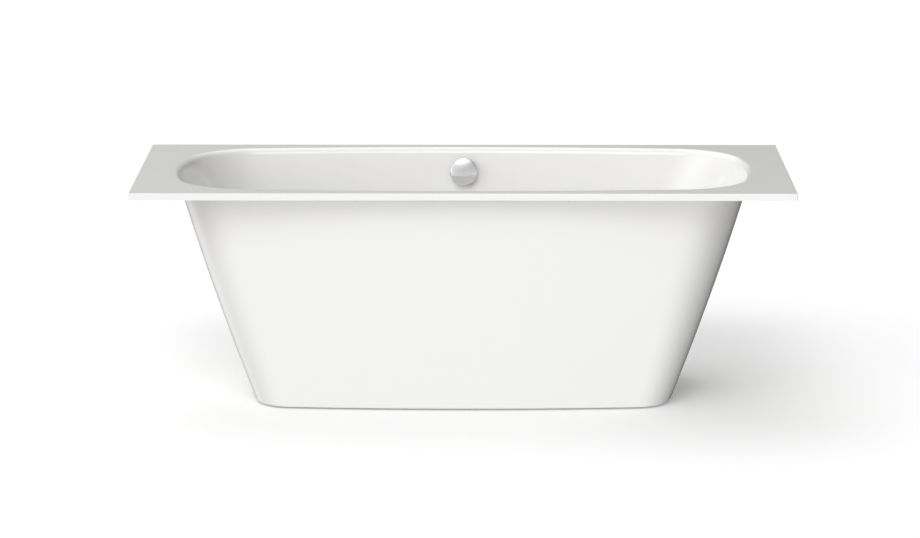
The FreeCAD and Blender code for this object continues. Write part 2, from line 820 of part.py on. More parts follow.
def trap_outlet():
    """Pipe to the rear with a collar near its end; a drain socket slides on as far as the collar."""
    bore = trap_pipe_radius - trap_pipe_wall
    end = Vector(trap_exit.x, skirt_base_half_width + outlet_reach, outlet_level)
    pipe = ring(trap_pipe_radius, bore, trap_exit, along_y, end.y - trap_exit.y)
    collar_start = end - along_y * (outlet_spigot + outlet_collar_width)
    collar = ring(trap_pipe_radius + outlet_collar, bore, collar_start, along_y, outlet_collar_width)
    return pipe.fuse(collar).removeSplitter()


def coupling(pipe, joint, axis):
    """Coupling nut over the butt joint of two pipes."""
    bore = pipe + coupling_clearance
    flats = 2 * (bore + coupling_ring)
    return nut(flats, coupling_sides, bore, joint - axis * (coupling_length / 2), axis, coupling_length)


def trap_nuts():
    joints = ((trap_inlet, along_z), (trap_exit, along_y))
    return compound([coupling(trap_pipe_radius, joint, axis) for joint, axis in joints])


# Overflow in the rear wall
def overflow_gasket():
    return on_wall(ring(overflow_flange_radius, overflow_hole_radius, Vector(0, 0, cup_face), along_z,
                        overflow_gasket_thickness))


def bridge_screw_places():
    reach = overflow_hole_radius - overflow_boss_inset
    return [Vector(sign * reach, 0, 0) for sign in (-1, 1)]


def overflow_body():
    """Cup behind the wall with a spigot down to the pipe and a port for the cable at its side."""
    inner = overflow_hole_radius
    cup = turned((0, cup_back), (cup_radius, cup_back), (cup_radius, cup_face - overflow_flange),
                 (overflow_flange_radius, cup_face - overflow_flange), (overflow_flange_radius, cup_face),
                 (inner, cup_face), (inner, cup_floor), (0, cup_floor))
    cavity = rod(inner, Vector(0, 0, cup_floor), along_z, overflow_cup_depth)
    spigot_length = cup_radius + overflow_spigot
    spigot_centre = Vector(0, 0, -pipe_standoff)
    spigot = rod(pipe_radius, spigot_centre, -along_y, spigot_length).cut(cavity)
    port_reach = cup_radius + port_length
    port_centre = Vector(0, cam_pin_radius * sine(knob_turn_angle / 2), cam_middle)
    port = rod(port_radius, port_centre, -along_x, port_reach).cut(cavity)
    cup = cup.fuse(spigot).fuse(port)
    cup = cup.cut(rod(pipe_radius - pipe_wall, spigot_centre, -along_y, spigot_length))
    cup = cup.cut(rod(cable_bore, port_centre, -along_x, port_reach))
    seat_start = port_centre - along_x * (port_reach - ferrule_seat)
    cup = cup.cut(rod(ferrule_radius + screw_clearance, seat_start, -along_x, ferrule_seat))
    floor_point = Vector(0, 0, cup_floor)
    cup = cup.fuse(rod(overflow_bearing_radius, floor_point, along_z, overflow_bearing))
    cup = cup.cut(rod(spindle_radius + running_clearance, floor_point, along_z, overflow_bearing))
    boss_length = overflow_cup_depth - overflow_cup_wall - overflow_flange
    hole_radius = bridge_screw_radius + screw_clearance
    hole_bottom = Vector(0, 0, seat_gap + bridge_thickness - bridge_screw_length)
    for place in bridge_screw_places():
        cup = cup.fuse(rod(overflow_boss_radius, place + floor_point, along_z, boss_length))
        cup = cup.cut(rod(hole_radius, place + hole_bottom, along_z, bridge_screw_length))
    return on_wall(cup.removeSplitter())


cam_base = cup_floor + overflow_bearing + thrust_gap
cam_middle = cam_base + cam_thickness / 2


def overflow_bridge():
    """Ring on the inner wall with two spokes and a bearing for the spindle; water runs in between."""
    base = Vector(0, 0, seat_gap)
    ring_inner = bridge_radius - bridge_ring
    bridge = ring(bridge_radius, ring_inner, base, along_z, bridge_thickness)
    spoke_half = Vector((ring_inner + bridge_radius) / 2, bridge_spoke / 2, 0)
    bridge = bridge.fuse(block(base - spoke_half, base + spoke_half + Vector(0, 0, bridge_thickness)))
    bridge = bridge.fuse(rod(bridge_hub_radius, base, along_z, bridge_hub_height))
    bridge = bridge.cut(rod(spindle_radius + running_clearance, base, along_z, bridge_hub_height))
    hole_radius = bridge_screw_radius + screw_clearance
    for place in bridge_screw_places():
        bridge = bridge.cut(rod(hole_radius, place + base, along_z, bridge_thickness))
    return on_wall(bridge.removeSplitter())


def overflow_screws():
    seats = [place + Vector(0, 0, seat_gap + bridge_thickness) for place in bridge_screw_places()]
    return compound([on_wall(screw(seat, -along_z, bridge_screw_radius, bridge_screw_length,
                                   bridge_screw_head_radius, bridge_screw_head)) for seat in seats])


# What the knob turns
knob_front = knob_gap + knob_depth
knob_roof = knob_front - knob_wall
knob_boss_bottom = seat_gap + bridge_hub_height + thrust_gap
spindle_top = (knob_roof + knob_front) / 2
set_screw_level = (knob_boss_bottom + knob_roof) / 2


def overflow_knob():
    """Domed round cap, hollow behind, with a boss on the spindle and a hole below for the set screw."""
    bore = spindle_radius + running_clearance
    rim_inner = knob_radius - knob_wall
    face_radius = knob_radius - knob_round
    bend = knob_round * (1 - cosine(right_angle / 2))
    knob = turned((0, spindle_top), (bore, spindle_top), (bore, knob_boss_bottom),
                  (knob_boss_radius, knob_boss_bottom), (knob_boss_radius, knob_roof), (rim_inner, knob_roof),
                  (rim_inner, knob_gap), (knob_radius, knob_gap), (knob_radius, knob_front - knob_round),
                  ((knob_radius - bend, knob_front - bend), (face_radius, knob_front)),
                  dome(face_radius, knob_front, knob_dome))
    screw_axis = Vector(0, 0, set_screw_level)
    knob = knob.cut(rod(set_screw_radius + set_screw_access, screw_axis, -along_y, knob_radius))
    return on_wall(knob)


def knob_spindle():
    bottom = cup_floor + spindle_end_gap
    length = spindle_top - running_clearance - bottom
    return on_wall(rod(spindle_radius, Vector(0, 0, bottom), along_z, length))


def knob_set_screw():
    start = Vector(0, -spindle_radius, set_screw_level)
    return on_wall(rod(set_screw_radius, start, -along_y, knob_boss_radius - spindle_radius))


def cable_cam():
    """Disc on the spindle with an eye for the cable's end; at rest the eye is on the cable's side."""
    base = Vector(0, 0, cam_base)
    rest_angle = right_angle + knob_turn_angle / 2
    eye = base + Vector(cam_pin_radius * cosine(rest_angle), cam_pin_radius * sine(rest_angle), 0)
    cam = ring(cam_radius, spindle_radius + running_clearance, base, along_z, cam_thickness)
    return on_wall(cam.cut(rod(cam_hole_radius, eye, along_z, cam_thickness)))


# Overflow pipe from the rear wall down to the waste
def pipe_corner():
    """Point where the run down the wall meets the level run to the waste."""
    up = (inlet_level - overflow_level + pipe_standoff * sine(side_slope_angle)) / cosine(side_slope_angle)
    return wall_point(0, up, pipe_standoff)


inlet_end = Vector(0, waste_offset + waste_cup_radius + inlet_spigot, inlet_level)
elbow_rise = elbow_radius * tangent((right_angle - side_slope_angle) / 2) + elbow_stub
elbow_top = pipe_corner() + wall_up * elbow_rise
spigot_end = wall_point(0, -cup_radius - overflow_spigot, pipe_standoff)


def overflow_elbow():
    path = rounded_path([inlet_end, pipe_corner(), elbow_top], elbow_radius)
    return swept_tube(path, pipe_radius, pipe_wall)


def overflow_pipe():
    length = elbow_top.distanceToPoint(spigot_end)
    return ring(pipe_radius, pipe_radius - pipe_wall, elbow_top, wall_up, length)


def overflow_nuts():
    joints = ((inlet_end, along_y), (elbow_top, wall_up), (spigot_end, wall_up))
    return compound([coupling(pipe_radius, joint, axis) for joint, axis in joints])


# Pull cable from the knob to the waste
def cable_route():
    """Corners of the cable: out of the overflow's side, down the wall, under the floor, into the waste."""
    start_x = -cup_radius - port_length + ferrule_seat - ferrule_length
    run_x = start_x - cable_bend - cable_slack
    up_start = cam_pin_radius * sine(knob_turn_angle / 2)
    up_end = (cable_level - overflow_level - cam_middle * sine(side_slope_angle)) / cosine(side_slope_angle)
    end_x = -waste_cup_radius - port_length + ferrule_seat - ferrule_length
    return [wall_point(start_x, up_start, -cam_middle), wall_point(run_x, up_start, -cam_middle),
            wall_point(run_x, up_end, -cam_middle), Vector(run_x, waste_offset, cable_level),
            Vector(end_x, waste_offset, cable_level)]


def cable_sleeve():
    path = rounded_path(cable_route(), cable_bend)
    return swept_tube(path, cable_radius, cable_radius - cable_bore)


def cable_wire():
    return swept(rounded_path(cable_route(), cable_bend), cable_wire_radius)


def cable_ferrules():
    """Stepped sleeves over both ends of the cable, seated in the ports."""
    route = cable_route()
    ferrules = []
    for end in (route[0], route[-1]):
        body = rod(ferrule_radius, end, along_x, ferrule_length)
        ferrules.append(body.cut(rod(cable_bore, end, along_x, ferrule_length)))
    return compound(ferrules)


def build():
    """Every piece by its name."""
    pieces = {
        "tub_shell": tub_shell(),
        "outer_skirt": outer_skirt(),
        "rim_batten_front": long_batten(-1),
        "rim_batten_rear": long_batten(1),
        "rim_batten_left": end_batten(-1),
        "rim_batten_right": end_batten(1),
        "skirt_screws": skirt_screws(),
        "base_board": base_board(),
        "support_rail_left": support_rail(rail_places[0]),
        "support_rail_right": support_rail(rail_places[1]),
        "rail_screws": rail_screws(),
        "foot_nuts": foot_nuts(rail_under + rail_wall),
        "lock_nuts": foot_nuts(rail_under - foot_nut_height),
        "waste_flange": waste_flange(),
        "waste_seal": waste_seal(),
        "waste_gasket": waste_gasket(),
        "waste_body": waste_body(),
        "waste_plug": waste_plug(),
        "plug_seal": plug_seal(),
        "lift_lever": lift_lever(),
        "lever_pin": lever_pin(),
        "trap_bend": trap_bend(),
        "trap_outlet": trap_outlet(),
        "trap_nuts": trap_nuts(),
        "overflow_gasket": overflow_gasket(),
        "overflow_body": overflow_body(),
        "overflow_bridge": overflow_bridge(),
        "overflow_screws": overflow_screws(),
        "overflow_knob": overflow_knob(),
        "knob_spindle": knob_spindle(),
        "knob_set_screw": knob_set_screw(),
        "cable_cam": cable_cam(),
        "overflow_elbow": overflow_elbow(),
        "overflow_pipe": overflow_pipe(),
        "overflow_nuts": overflow_nuts(),
        "cable_sleeve": cable_sleeve(),
        "cable_wire": cable_wire(),
        "cable_ferrules": cable_ferrules(),
    }
    for end_name, rail_x in zip(("left", "right"), rail_places):
        for side_name, foot_y in zip(("front", "rear"), foot_places):
            foot = Vector(rail_x, foot_y, 0)
            pieces["foot_rod_" + side_name + "_" + end_name] = foot_rod(foot)
            pieces["foot_pad_" + side_name + "_" + end_name] = foot_pad(foot)
    return pieces


os.makedirs("parts", exist_ok=True)
for name, shape in build().items():
    shape.exportStep("parts/" + name + ".step")
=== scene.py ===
"""Looks of a built-in bathtub, laid out as an add-on: shell, skirt, boards, feet, waste, overflow and studio.

Metres. X runs along the tub, -Y is its front and +Z is up, as in the frame that is loaded first.
"""
import json
import math

import bmesh
import bpy
from bpy.props import FloatProperty, FloatVectorProperty, IntProperty, PointerProperty
from mathutils import Matrix, Vector

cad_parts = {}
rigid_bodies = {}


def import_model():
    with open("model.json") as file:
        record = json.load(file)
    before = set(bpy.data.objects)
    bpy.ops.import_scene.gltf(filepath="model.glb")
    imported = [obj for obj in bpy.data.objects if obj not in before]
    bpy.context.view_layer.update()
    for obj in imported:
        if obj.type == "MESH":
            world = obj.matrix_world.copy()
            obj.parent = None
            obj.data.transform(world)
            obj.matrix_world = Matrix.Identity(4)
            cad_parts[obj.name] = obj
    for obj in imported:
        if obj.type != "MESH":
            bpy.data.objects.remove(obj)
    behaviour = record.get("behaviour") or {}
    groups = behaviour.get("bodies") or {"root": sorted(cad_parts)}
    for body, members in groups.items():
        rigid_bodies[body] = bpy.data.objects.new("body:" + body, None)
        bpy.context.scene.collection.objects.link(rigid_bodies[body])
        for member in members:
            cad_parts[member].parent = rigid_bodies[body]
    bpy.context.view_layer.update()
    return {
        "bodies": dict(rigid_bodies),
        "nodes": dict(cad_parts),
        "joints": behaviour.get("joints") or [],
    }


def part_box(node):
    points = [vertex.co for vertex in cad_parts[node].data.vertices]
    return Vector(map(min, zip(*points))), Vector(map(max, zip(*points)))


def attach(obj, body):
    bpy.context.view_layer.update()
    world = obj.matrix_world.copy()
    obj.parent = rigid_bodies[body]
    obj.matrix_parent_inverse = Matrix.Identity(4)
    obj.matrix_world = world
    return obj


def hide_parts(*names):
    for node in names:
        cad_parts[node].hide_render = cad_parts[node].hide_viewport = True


bl_info = {
    "name": "Built-in Bathtub",
    "version": (1, 0, 0),
    "blender": (4, 5, 0),
    "location": "View3D > Sidebar > Bathtub",
    "description": "Dresses the packed frame of a built-in bathtub and sets up its studio",
    "category": "Object",
}

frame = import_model()
joints = {joint["name"]: joint for joint in frame["joints"]}
UP = Vector((0, 0, 1))
RIGHT_ANGLE = math.pi / 2
FULL_TURN = 2 * math.pi
# Radius of the smallest ring of a turned form, where it closes on its axis
POLE = 0.0001
# Distance under which two points of a CAD node are taken as one
WELD = 1e-6

# What the frame gives: levels and axes that the pieces share
rim_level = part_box("tub_shell")[1].z
rim_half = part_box("tub_shell")[1].xy
lip_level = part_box("outer_skirt")[1].z
skirt_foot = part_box("outer_skirt")[0].z
floor_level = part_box("waste_flange")[1].z
waste_axis = (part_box("waste_flange")[0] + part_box("waste_flange")[1]) / 2
sump_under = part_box("tub_shell")[0].z
sump_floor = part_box("waste_seal")[0].z
overflow_seat = Vector(joints["knob_turn"]["pos_m"])
overflow_axis = -Vector(joints["knob_turn"]["axis"])


def setting(kind, **limits):
    """A maker of settings of one kind that a user may change: name, description and default."""
    def make(name, description, default):
        return kind(name=name, description=description, default=default, **limits)
    return make


size = setting(FloatProperty, min=0.0, precision=4, subtype="DISTANCE", unit="LENGTH")
lean = setting(FloatProperty, subtype="ANGLE", unit="ROTATION")
tint = setting(FloatVectorProperty, size=3, min=0.0, max=1.0, subtype="COLOR")
spot = setting(FloatVectorProperty, size=3, subtype="TRANSLATION", unit="LENGTH")
amount = setting(FloatProperty, min=0.0)
count = setting(IntProperty, min=3)


class ShellSizes(bpy.types.PropertyGroup):
    """Sizes of the formed shell."""
    wall: size("Wall", "Thickness of the formed sheet", 0.006)
    end_land: size("End land", "Flat rim beside the basin at each end", 0.091)
    side_land: size("Side land", "Flat rim beside the basin at front and rear", 0.037)
    opening_corner: size("Opening corner", "Corner radius of the basin where it meets the rim", 0.195)
    floor_corner: size("Floor corner", "Corner radius of the basin at floor level", 0.130)
    end_bow: lean("End bow", "Half the angle that each bowed end turns through", math.radians(12.5))
    side_bow: lean("Side bow", "Half the angle that each bowed side turns through", math.radians(4.8))
    end_slope: lean("End slope", "Lean of the end walls from upright", math.radians(27.0))
    side_slope: lean("Side slope", "Lean of the side walls from upright", math.radians(11.0))
    rim_roll: size("Rim roll", "Radius where the rim turns down into the basin", 0.020)
    floor_round: size("Floor round", "Radius where the walls turn into the floor", 0.075)
    edge_round: size("Edge round", "Radius along the rim's outer edge", 0.0015)
    corner_round: size("Corner round", "Plan radius of the rim's four corners", 0.003)
    sump_radius: size("Sump radius", "Radius of the shallow recess round the waste", 0.043)
    waste_hole: size("Waste hole", "Radius of the hole for the waste", 0.025)
    overflow_hole: size("Overflow hole", "Radius of the hole behind the knob", 0.026)


class SkirtSizes(bpy.types.PropertyGroup):
    """Sizes of the tapered skirt round the basin."""
    wall: size("Wall", "Thickness of the skirt's sheet", 0.005)
    end_inset: size("End inset", "Step in from the basin's opening at each end", 0.009)
    side_inset: size("Side inset", "Step in from the basin's opening at front and rear", 0.007)
    end_taper: size("End taper", "How far each end draws in from top to bottom", 0.194)
    side_taper: size("Side taper", "How far front and rear draw in from top to bottom", 0.076)
    corner_loss: size("Corner loss", "How much the corner radius shrinks from top to bottom", 0.092)
    end_bulge: size("End bulge", "Swell of the ends half-way down", 0.0065)
    side_bulge: size("Side bulge", "Swell of front and rear half-way down", 0.003)
    flange: size("Flange", "Reach of the flange under the rim", 0.029)
    lip: size("Lip", "Reach of the turned-in lower edge", 0.018)
    foot_round: size("Foot round", "Radius along the lower edge", 0.003)
    service_width: size("Service width", "Width of the opening at the rear", 0.320)
    service_corner: size("Service corner", "Upper corner radius of the opening at the rear", 0.040)
    service_strip: size("Service strip", "Sheet left between the opening and the flange", 0.006)


class FittingSizes(bpy.types.PropertyGroup):
    """Sizes of the small fittings' detail."""
    rod_bore: size("Rod bore", "Bore radius of the feet's nuts", 0.00508)
    nut_flats: size("Nut flats", "Width of the feet's nuts across their flats", 0.017)
    nut_height: size("Nut height", "Height of the feet's nuts", 0.008)
    trap_bore: size("Trap bore", "Bore radius of the trap's couplings", 0.02015)
    pipe_bore: size("Pipe bore", "Bore radius of the overflow pipe's couplings", 0.01615)
    coupling_ring: size("Coupling ring", "Least thickness of a coupling round its bore", 0.005)
    coupling_length: size("Coupling length", "Length of a coupling along its pipe", 0.022)
    bridge_level: size("Bridge level", "Level of the overflow screws' seats above the wall", 0.0032)
    bridge_screw: size("Bridge screw", "Length of the overflow screws below their heads", 0.028)
    thread_pitch: size("Thread pitch", "Pitch of the feet's threads", 0.0015)
    thread_depth: size("Thread depth", "Depth of the feet's threads", 0.0009)
    nut_chamfer: size("Nut chamfer", "How far a nut's corners are turned off", 0.0009)
    grip_chamfer: size("Grip chamfer", "How far a coupling's corners are turned off", 0.0016)
    bore_chamfer: size("Bore chamfer", "Chamfer at both ends of a nut's bore", 0.0005)
    recess_reach: amount("Recess reach", "Length of a screw's cross recess, as a share of its head", 0.58)
    recess_width: amount("Recess width", "Width of a screw's cross recess, as a share of its head", 0.16)
    pad_round: size("Pad round", "Radius along the edges of a foot's pad", 0.0015)
    pad_groove: size("Pad groove", "Depth of the grip grooves round a foot's pad", 0.0008)
    knob_radius: size("Knob radius", "Radius of the knob", 0.036)
    knob_gap: size("Knob gap", "Gap between the wall and the knob's edge", 0.010)
    knob_depth: size("Knob depth", "Depth of the knob from its edge to the front", 0.011)
    knob_dome: size("Knob dome", "Rise of the knob's domed front", 0.003)
    knob_round: size("Knob round", "Radius between the knob's side and its front", 0.002)
    knob_wall: size("Knob wall", "Thickness of the knob's side and front", 0.003)
    boss_radius: size("Boss radius", "Radius of the boss inside the knob", 0.007)
    boss_bore: size("Boss bore", "Radius of the bore for the spindle", 0.00305)
    boss_level: size("Boss level", "Level of the boss's foot above the wall", 0.0087)
    set_screw_hole: size("Set-screw hole", "Radius of the hole to the set screw", 0.002)
    stem_radius: size("Stem radius", "Radius of the plug's stem", 0.004)
    plug_edge: size("Plug edge", "Height of the plug's upright edge", 0.003)
    plug_dome: size("Plug dome", "Rise of the plug's domed top", 0.0035)
    plug_round: size("Plug round", "Radius between the plug's edge and its top", 0.0008)
    burr: size("Burr", "How far plain corners of turned pieces are broken", 0.0004)
    facets: count("Facets", "Segments round a turned piece", 48)


class FinishColours(bpy.types.PropertyGroup):
    """Colours of the finishes."""
    shell: tint("Shell", "Glossy sheet of the basin and rim", (0.830, 0.826, 0.815))
    skirt: tint("Skirt", "Glossy sheet of the skirt", (0.830, 0.827, 0.818))
    resin: tint("Resin", "Reinforced back of the shell", (0.70, 0.67, 0.55))
    strand: tint("Strand", "Glass strands in the reinforced back", (0.86, 0.85, 0.78))
    chip: tint("Chip", "Pale chips of the pressed board", (0.62, 0.45, 0.27))
    glue: tint("Glue", "Dark chips of the pressed board", (0.36, 0.23, 0.12))
    zinc: tint("Zinc", "Bright plating of screws, nuts and feet", (0.66, 0.66, 0.63))
    galvanised: tint("Galvanised", "Spangled coat of the rails", (0.56, 0.58, 0.60))
    stainless: tint("Stainless", "Brushed steel behind the knob", (0.62, 0.61, 0.59))
    drawn: tint("Drawn", "Drawn steel of wire and pins", (0.50, 0.50, 0.50))
    chrome: tint("Chrome", "Polished plating of knob, plug and flange", (0.80, 0.80, 0.81))
    brass: tint("Brass", "Turned spindle", (0.76, 0.56, 0.26))
    rubber: tint("Rubber", "Seals and gaskets", (0.020, 0.020, 0.021))
    pad: tint("Pad", "Rubber of the feet", (0.032, 0.032, 0.034))
    drain: tint("Drain", "Moulded plastic of waste and pipes", (0.70, 0.70, 0.68))
    grip: tint("Grip", "Moulded plastic of couplings", (0.055, 0.058, 0.062))
    lever: tint("Lever", "Moulded plastic of the mechanism", (0.080, 0.085, 0.095))
    sleeve: tint("Sleeve", "Plastic of the pull cable's sleeve", (0.022, 0.022, 0.024))


class StudioSettings(bpy.types.PropertyGroup):
    """Camera, light and floor."""
    lens: size("Lens", "Focal length on a 36 mm sensor", 0.14848)
    camera_place: spot("Camera place", "Where the camera stands", (0.0349, -9.8482, 2.3156))
    camera_tilt: lean("Camera tilt", "How far the camera looks down", math.radians(11.431))
    camera_pan: lean("Camera pan", "How far the camera looks to its right", math.radians(-0.257))
    floor_size: size("Floor size", "Side of the floor", 120.0)
    floor_colour: tint("Floor colour", "Pale floor", (0.93, 0.93, 0.93))
    floor_glow: amount("Floor glow", "Light that the white floor adds of itself", 0.10)
    even: amount("Even", "Strength of the even light all round", 0.01)
    key: amount("Key", "Strength of the soft light in front and above", 5.8)
    left: amount("Left", "Strength of the soft light at left", 2.8)
    front: amount("Front", "Strength of the broad light in front", 0.75)
    rear: amount("Rear", "Strength of the soft light behind at left", 1.75)
    top: amount("Top", "Strength of the soft light overhead", 0.9)
    bounce: amount("Bounce", "Strength of the light thrown up from the floor at right", 1.2)
    rear_bounce: amount("Rear bounce", "Strength of the light thrown up from the floor behind at left", 1.15)


def settings(group):
    """The scene's own copy of a property group."""
    return getattr(bpy.context.scene, "bathtub_" + group)


# Shader expressions
class Value:
    """A node's output in an expression: each operator on it adds one Math node."""

    def __init__(self, nodes, output):
        self.nodes = nodes
        self.output = output

    def math(self, operation, first, second):
        return self.nodes.add("ShaderNodeMath", {"operation": operation}, {0: first, 1: second})

    def __add__(self, other):
        return self.math("ADD", self, other)

    def __rsub__(self, other):
        return self.math("SUBTRACT", other, self)

    def __mul__(self, other):
        return self.math("MULTIPLY", self, other)

    def __pow__(self, other):
        return self.math("POWER", self, other)

    __radd__ = __add__


class Nodes:
    """A node tree under construction."""

    def __init__(self, tree):
        self.tree = tree

    def add(self, kind, options, sockets, output=0):
        """Adds a node of any kind: its settings first, then the values or links of its sockets."""
        node = self.tree.nodes.new(kind)
        for name, option in options.items():
            if name == "stops":
                self.set_stops(node.color_ramp, option)
            else:
                setattr(node, name, option)
        for name, value in sockets.items():
            self.feed(node.inputs[name], value)
        return Value(self, node.outputs[output])

    def set_stops(self, ramp, stops):
        while len(ramp.elements) < len(stops):
            ramp.elements.new(1.0)
        for element, (position, grey) in zip(ramp.elements, stops):
            element.position = position
            element.color = (grey, grey, grey, 1.0)

    def feed(self, socket, value):
        if isinstance(value, Value):
            self.tree.links.new(value.output, socket)
        else:
            socket.default_value = value


class Finish(Nodes):
    """A material under construction: its nodes and its one Principled surface."""

    def __init__(self, name, **constants):
        self.material = bpy.data.materials.new(name)
        self.material.use_nodes = True
        super().__init__(self.material.node_tree)
        self.surface = self.tree.nodes["Principled BSDF"]
        for socket, value in constants.items():
            self.surface.inputs[socket.replace("_", " ").title().replace("Ior", "IOR")].default_value = value

    def place(self, stretch):
        """Coordinates that stay with the piece, in metres, drawn out by a stretch."""
        here = self.add("ShaderNodeTexCoord", {}, {}, "Object")
        return self.add("ShaderNodeMapping", {}, {"Vector": here, "Scale": stretch})

    def noise(self, scale, detail=3.0, distortion=0.0, stretch=(1.0, 1.0, 1.0)):
        """Cloudy value round a half."""
        return self.add("ShaderNodeTexNoise", {}, {"Vector": self.place(stretch), "Scale": scale,
                                                   "Detail": detail, "Distortion": distortion}, "Fac")

    def cells(self, scale, stretch=(1.0, 1.0, 1.0)):
        """A random value for each cell of a crystal-like pattern."""
        cell = self.add("ShaderNodeTexVoronoi", {}, {"Vector": self.place(stretch), "Scale": scale}, "Color")
        return self.add("ShaderNodeSeparateColor", {}, {"Color": cell}, "Red")

    def ramp(self, value, low, high):
        """A value spread from black at one level to white at another."""
        return self.add("ShaderNodeValToRGB", {"stops": ((low, 0.0), (high, 1.0))}, {"Fac": value}, "Color")

    def mix(self, share, first, second):
        """A colour between two colours."""
        sockets = {0: share, 6: (*first, 1.0), 7: (*second, 1.0)}
        return self.add("ShaderNodeMix", {"data_type": "RGBA"}, sockets, 2)

    def tones(self, share, colour, first, second):
        """A colour between two shades of one colour, each given as a factor."""
        return self.mix(share, shade(colour, first), shade(colour, second))

    def dress(self, colour, roughness, height, depth, strength):
        """Feeds the surface a colour, a roughness and a relief as deep as a depth in metres."""
        bump = self.add("ShaderNodeBump", {}, {"Height": height, "Distance": depth, "Strength": strength})
        for socket, value in (("Base Color", colour), ("Roughness", roughness), ("Normal", bump)):
            self.feed(self.surface.inputs[socket], value)
        return self.material


def shade(colour, factor):
    """A colour made lighter or darker, within what a surface can have."""
    return tuple(min(1.0, channel * factor) for channel in colour)


def gloss_sheet(name, colour, roughness):
    """White sheet with a soft gloss: faint drift of tone, a hint of ripple and uneven polish."""
    finish = Finish(name, ior=1.49, coat_weight=0.25, coat_roughness=0.08)
    drift = finish.tones(finish.noise(2.2, detail=4.0), colour, 0.99, 1.01)
    polish = finish.noise(14.0, detail=4.0, distortion=0.6) * 0.05 + (roughness - 0.025)
    return finish.dress(drift, polish, finish.noise(240.0, detail=2.0), depth=0.000008, strength=0.25)


def reinforced_back(name, resin, strand):
    """Back of a formed sheet: chopped glass strands in resin."""
    finish = Finish(name, ior=1.5)
    lengthways = finish.noise(70.0, detail=4.0, distortion=1.8, stretch=(1.0, 0.22, 1.0))
    crossways = finish.noise(70.0, detail=4.0, distortion=2.4, stretch=(0.22, 1.0, 0.5))
    strands = finish.ramp(lengthways, 0.46, 0.62) * 0.55 + finish.ramp(crossways, 0.48, 0.64) * 0.55
    mat = finish.mix(strands, resin, strand)
    return finish.dress(mat, 0.62 - strands * 0.24, strands, depth=0.0006, strength=0.8)


def pressed_board(name, chip, glue):
    """Pressed board: chips of many tones with a fine, dry surface."""
    finish = Finish(name, ior=1.45)
    chips = finish.cells(210.0, (1.0, 0.55, 1.6)) * 0.6 + finish.cells(520.0, (0.7, 1.0, 1.0)) * 0.4
    dust = finish.noise(900.0, detail=3.0)
    pressed = finish.mix(chips, glue, chip)
    return finish.dress(pressed, 0.88 - chips * 0.16, chips + dust * 0.5, depth=0.00025, strength=0.6)


def spangled_metal(name, colour):
    """Hot-dip coat: crystals that differ in tone and polish."""
    finish = Finish(name, metallic=1.0)
    crystals = finish.cells(85.0) * 0.7 + finish.noise(38.0, detail=4.0, distortion=1.2) * 0.3
    spangle = finish.tones(crystals, colour, 0.72, 1.12)
    return finish.dress(spangle, 0.30 + crystals * 0.26, crystals, depth=0.00006, strength=0.5)


def worked_metal(name, colour, roughness, stretch):
    """Metal with fine lines along its working direction."""
    finish = Finish(name, metallic=1.0)
    lines = finish.noise(700.0, detail=4.0, distortion=0.2, stretch=stretch)
    blush = finish.noise(45.0, detail=3.0)
    streaks = finish.tones(blush * 0.5 + lines * 0.5, colour, 0.80, 1.12)
    polish = lines * 0.22 + blush * 0.10 + (roughness - 0.16)
    return finish.dress(streaks, polish, lines, depth=0.00003, strength=0.5)


def polished_metal(name, colour, roughness):
    """Bright plating: hardly any relief, with faint haze from wiping."""
    finish = Finish(name, metallic=1.0)
    haze = finish.ramp(finish.noise(60.0, detail=5.0, distortion=1.0), 0.42, 0.78)
    plating = finish.tones(haze, colour, 1.0, 0.96)
    ripple = finish.noise(420.0, detail=2.0)
    return finish.dress(plating, haze * 0.05 + roughness, ripple, depth=0.000004, strength=0.3)


def soft_rubber(name, colour):
    """Matt rubber with a dusty bloom."""
    finish = Finish(name, ior=1.52, specular_ior_level=0.35)
    bloom = finish.ramp(finish.noise(55.0, detail=6.0, distortion=0.8), 0.40, 0.85)
    dusty = finish.tones(bloom, colour, 1.0, 2.1)
    pores = finish.noise(1500.0, detail=3.0)
    return finish.dress(dusty, 0.72 + bloom * 0.18, pores, depth=0.00008, strength=0.7)


def moulded_plastic(name, colour, roughness, grain=1100.0):
    """Moulded plastic: a fine matt grain and faint flow marks."""
    finish = Finish(name, ior=1.5)
    flow = finish.noise(18.0, detail=4.0, distortion=2.0)
    pits = finish.noise(grain, detail=2.0)
    marks = finish.tones(flow, colour, 0.92, 1.08)
    polish = flow * 0.10 + pits * 0.10 + (roughness - 0.10)
    return finish.dress(marks, polish, pits, depth=0.00005, strength=0.5)


# Building meshes
def new_object(name, builder):
    """Makes an object from a bmesh and puts it in the scene."""
    mesh = bpy.data.meshes.new(name)
    builder.to_mesh(mesh)
    builder.free()
    made = bpy.data.objects.new(name, mesh)
    bpy.context.scene.collection.objects.link(made)
    return made


def new_piece(name, builder, slot, body, *materials):
    """Makes a piece from a bmesh, gives it its materials and lets it ride on a body; the slot is not used."""
    bmesh.ops.recalc_face_normals(builder, faces=builder.faces)
    piece = new_object(name, builder)
    for material in materials:
        piece.data.materials.append(material)
    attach(piece, body)
    return piece


def stand_in(piece, node, crisp):
    """Smooths a piece but for edges past a number of degrees, and puts it in a CAD node's place."""
    mesh = piece.data
    for face in mesh.polygons:
        face.use_smooth = True
    mesh.set_sharp_from_angle(angle=math.radians(crisp))
    broad = piece.modifiers.new("broad_faces", "WEIGHTED_NORMAL")
    broad.keep_sharp = True
    broad.weight = 80
    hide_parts(node)


def sweep(start, end, steps):
    """Values from one to another in even steps, with both ends among them."""
    return [start + (end - start) * step / steps for step in range(steps + 1)]


def round_point(radius, turn, level):
    """Point at a radius and an angle about Z, on a level."""
    return Vector((radius * math.cos(turn), radius * math.sin(turn), level))


